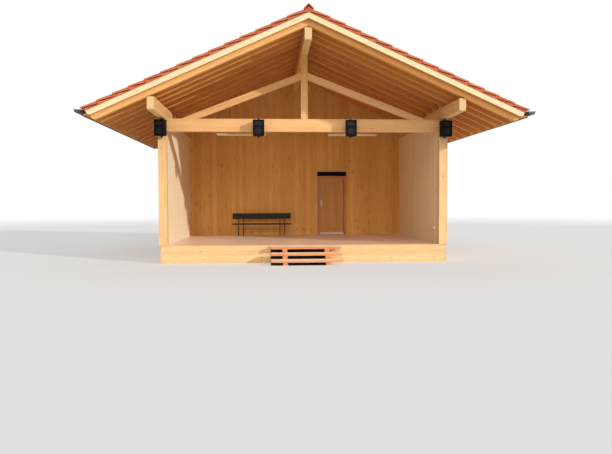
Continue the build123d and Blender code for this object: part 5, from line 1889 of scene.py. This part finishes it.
@dataclass
class Bench:
    """Bench of three stained boards on two frames, each bent from one tube with a loop."""

    centre: float = -1.295
    length: float = 2.160
    face_y: float = 2.200
    seat_depth: float = 0.360
    seat_top: float = 0.970
    front_board: float = 0.120
    board: float = 0.044
    back_bottom: float = 1.135
    back_height: float = 0.205
    back_board: float = 0.030
    radius: float = 0.014
    bend: float = 0.060
    pair: float = 0.175
    spacing: float = 1.530

    def build(self, finishes: Finishes) -> None:
        """Builds the boards with their bolts, and the frames."""
        boards, frames = Shape(111), Shape(112)
        x0, x1 = self.centre - self.length / 2, self.centre + self.length / 2
        front, top = self.face_y - self.seat_depth, self.seat_top
        seam = front + self.front_board
        for y0, y1 in ((front, seam), (seam + 0.008, self.face_y - 0.030)):
            boards.boxes((x0, y0, top - self.board), (x1, y1, top), 0.006, ALONG_X, end_finish=1)
        upper = self.back_bottom + self.back_height
        boards.boxes((x0, self.face_y, self.back_bottom), (x1, self.face_y + self.back_board,
                                                            upper), 0.008, ALONG_X, end_finish=1)
        rail = top - self.board - self.radius
        stay = self.face_y + self.back_board + self.radius
        foot = front + 0.020
        loop = upper - 0.030 - self.radius
        for side in (-1, 1):
            middle = self.centre + side * self.spacing / 2
            left, right = middle - self.pair / 2, middle + self.pair / 2
            path = bent([(left, foot, SITE.deck), (left, foot, rail), (left, stay, rail),
                         (left, stay, loop), (right, stay, loop), (right, stay, rail),
                         (right, foot, rail), (right, foot, SITE.deck)], self.bend, 7)
            frames.tube(path, self.radius, 12)
            for x in (left, right):
                leg = self.face_y - 0.120
                frames.tube([(x, leg, SITE.deck), (x, leg, rail)], self.radius, 12)
                for y in (foot, leg):
                    frames.turned([(0.021, 0), (0.021, 0.010), (0.017, 0.014), (0.015, 0.014)],
                                  14, (x, y, SITE.deck))
            bolts = [(x, self.face_y, z) for x in (left, right)
                     for z in (self.back_bottom + 0.050, upper - 0.070)]
            boards.scatter(screws(0.010, 0.005, (0, -1, 0), 12), bolts, finish=2)
        boards.piece("bench_planks", [finishes.bench, finishes.bench_end, finishes.black_steel],
                     "bench_wood", ["bench_boards"])
        frames.piece("bench_tube_frames", [finishes.tube], "black_steel", ["bench_frames"])


@dataclass
class Socket:
    """Small surface box with a hinged lid on the right-hand lining."""

    size: tuple[float, float, float] = (0.045, 0.085, 0.085)
    y: float = -2.905
    z: float = 0.980
    lid: float = 0.010

    def build(self, finishes: Finishes) -> None:
        """Builds the box, its lid and the lid's hinge."""
        shape = Shape(121)
        depth, width, height = self.size
        face, wall = SITE.lining_x - depth, SITE.lining_x
        y0, y1 = self.y - width / 2, self.y + width / 2
        z0, z1 = self.z - height / 2, self.z + height / 2
        shape.boxes((face + self.lid, y0, z0), (wall, y1, z1), 0.004, ALONG_Z)
        shape.boxes((face, y0 + 0.006, z0 + 0.005),
                    (face + self.lid + 0.0005, y1 - 0.006, z1 - 0.012), 0.003, ALONG_Z)
        shape.tube([(face + 0.007, y, z1 - 0.009) for y in (y0 + 0.010, y1 - 0.010)], 0.004, 10)
        shape.piece("socket_with_lid", [finishes.socket], "socket_white", ["socket_box"])


# Studio


@dataclass
class Studio:
    """Pale floor, soft light from the front right and the camera in front of the stage."""

    camera_place: tuple[float, float, float] = (-1.083, -23.178, 1.814)
    yaw: float = math.radians(3.253)
    pitch: float = math.radians(-2.240)
    roll: float = math.radians(-0.164)
    focal_pixels: float = 678.92
    picture_width: float = 612.0
    sensor: float = 36.0
    view_limit: float = 1000.0
    sun_azimuth: float = math.radians(49.5)
    sun_elevation: float = math.radians(17)
    sun_spread: float = math.radians(1.6)
    sun_strength: float = 2.1
    front_spread: float = math.radians(45)
    front_elevation: float = math.radians(28)
    front_strength: float = 1.06
    fill: float = 0.44
    floor_rings: tuple[float, ...] = (0.5, 12.0, 40.0, 120.0, 300.0)
    fade: tuple[float, float] = (9.0, 60.0)
    near_glow: float = 0.35

    def camera(self) -> None:
        """Sets the camera in front of the stage: its axes come from yaw, pitch and roll, and its
        lens is the focal length in pixels times the sensor over the picture's width."""
        cos_p, sin_p = math.cos(self.pitch), math.sin(self.pitch)
        ahead = np.array([math.sin(self.yaw) * cos_p, math.cos(self.yaw) * cos_p, sin_p])
        right = np.array([math.cos(self.yaw), -math.sin(self.yaw), 0.0])
        up = np.cross(right, ahead)
        cos_r, sin_r = math.cos(self.roll), math.sin(self.roll)
        axes = np.column_stack([cos_r * right + sin_r * up, cos_r * up - sin_r * right, -ahead])
        place = np.eye(4)
        place[:3, :3], place[:3, 3] = axes, self.camera_place
        data = bpy.data.cameras.new("audience_camera")
        data.sensor_width = self.sensor
        data.lens = self.focal_pixels * self.sensor / self.picture_width
        data.clip_end = self.view_limit
        camera = placed("audience_camera", data)
        camera.matrix_world = Matrix(place.tolist())
        bpy.context.scene.camera = camera

    def lights(self) -> None:
        """Adds the soft key light, and a plain fill that the camera, gloss and glass see as
        white."""
        for name, strength, spread, elevation, azimuth in (
                ("key_light", self.sun_strength, self.sun_spread, self.sun_elevation,
                 self.sun_azimuth),
                ("front_fill", self.front_strength, self.front_spread, self.front_elevation,
                 0.0)):
            data = bpy.data.lights.new(name, "SUN")
            data.energy, data.angle = strength, spread
            light = placed(name, data)
            light.rotation_euler = (math.pi / 2 - elevation, 0.0, azimuth)
            light.visible_glossy = name == "key_light"
        shade = ShaderTree("plain_studio", world=True)
        rays = shade.add("LightPath").node.outputs
        shown = rays["Is Camera Ray"]
        for kind in ("Is Glossy Ray", "Is Transmission Ray"):
            shown = shade.add("Math", MAXIMUM, shown, rays[kind])
        fill = shade.add("Background", None, linear("#FFFFFF"), self.fill)
        white = shade.add("Background", None, linear("#FFFFFF"), 1.0)
        bpy.context.scene.world = shade.finish(shade.add("MixShader", None, shown, fill, white))

    def floor(self) -> None:
        """Adds the floor as a disc whose far part is as white as the background."""
        shade = ShaderTree("plain_pale_floor")
        add = shade.add
        distance = add("VectorMath", {"operation": "LENGTH"}, add("TexCoord", take="Object"),
                       take="Value")
        far = add("MapRange", SMOOTH, distance, *self.fade)
        seen = add("LightPath", take="Is Camera Ray")
        glow = add("Math", MULTIPLY, add("Math", MAXIMUM, far, self.near_glow), seen)
        pale = add("BsdfDiffuse", None, linear("#E6E4E0"))
        white = add("Emission", None, Strength=1.0)
        material = shade.finish(add("MixShader", None, glow, pale, white))
        rings = np.array(self.floor_rings)
        points = rings[:, None, None] * stack(*circle(1.0, 64).T, 0.0)[None]
        points = points.reshape(-1, 3) - (0, 0, 0.001)
        mesh = bpy.data.meshes.new("studio_floor")
        faces = woven(len(rings), 64, True, True)
        quads = faces[0][:, ::-1].tolist() + faces[1][:, ::-1].tolist()
        mesh.from_pydata(points.tolist(), [], quads)
        mesh.materials.append(material)
        floor = placed("studio_floor", mesh)

    def build(self) -> None:
        """Builds the studio."""
        self.camera()
        self.lights()
        self.floor()
        bpy.context.scene.view_settings.view_transform = "Standard"


def main() -> None:
    """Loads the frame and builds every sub-assembly in order."""
    logging.basicConfig(level=logging.INFO, format="%(name)s: %(message)s")
    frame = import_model()
    nodes = frame["nodes"]
    Studio().build()
    finishes = Finishes()
    Floor().build(finishes, nodes)
    Walls().build(finishes, nodes)
    Truss().build(finishes)
    RoofCarpentry().build(finishes, nodes)
    Tiles().build(finishes)
    RidgeTiles().build(finishes)
    Gutters().build(finishes)
    Steps().build(finishes)
    Loudspeakers().build(finishes)
    Lamps().build(finishes)
    StageDoor().build(finishes, nodes)
    Bench().build(finishes)
    Socket().build(finishes)


if __name__ == "__main__":
    main()
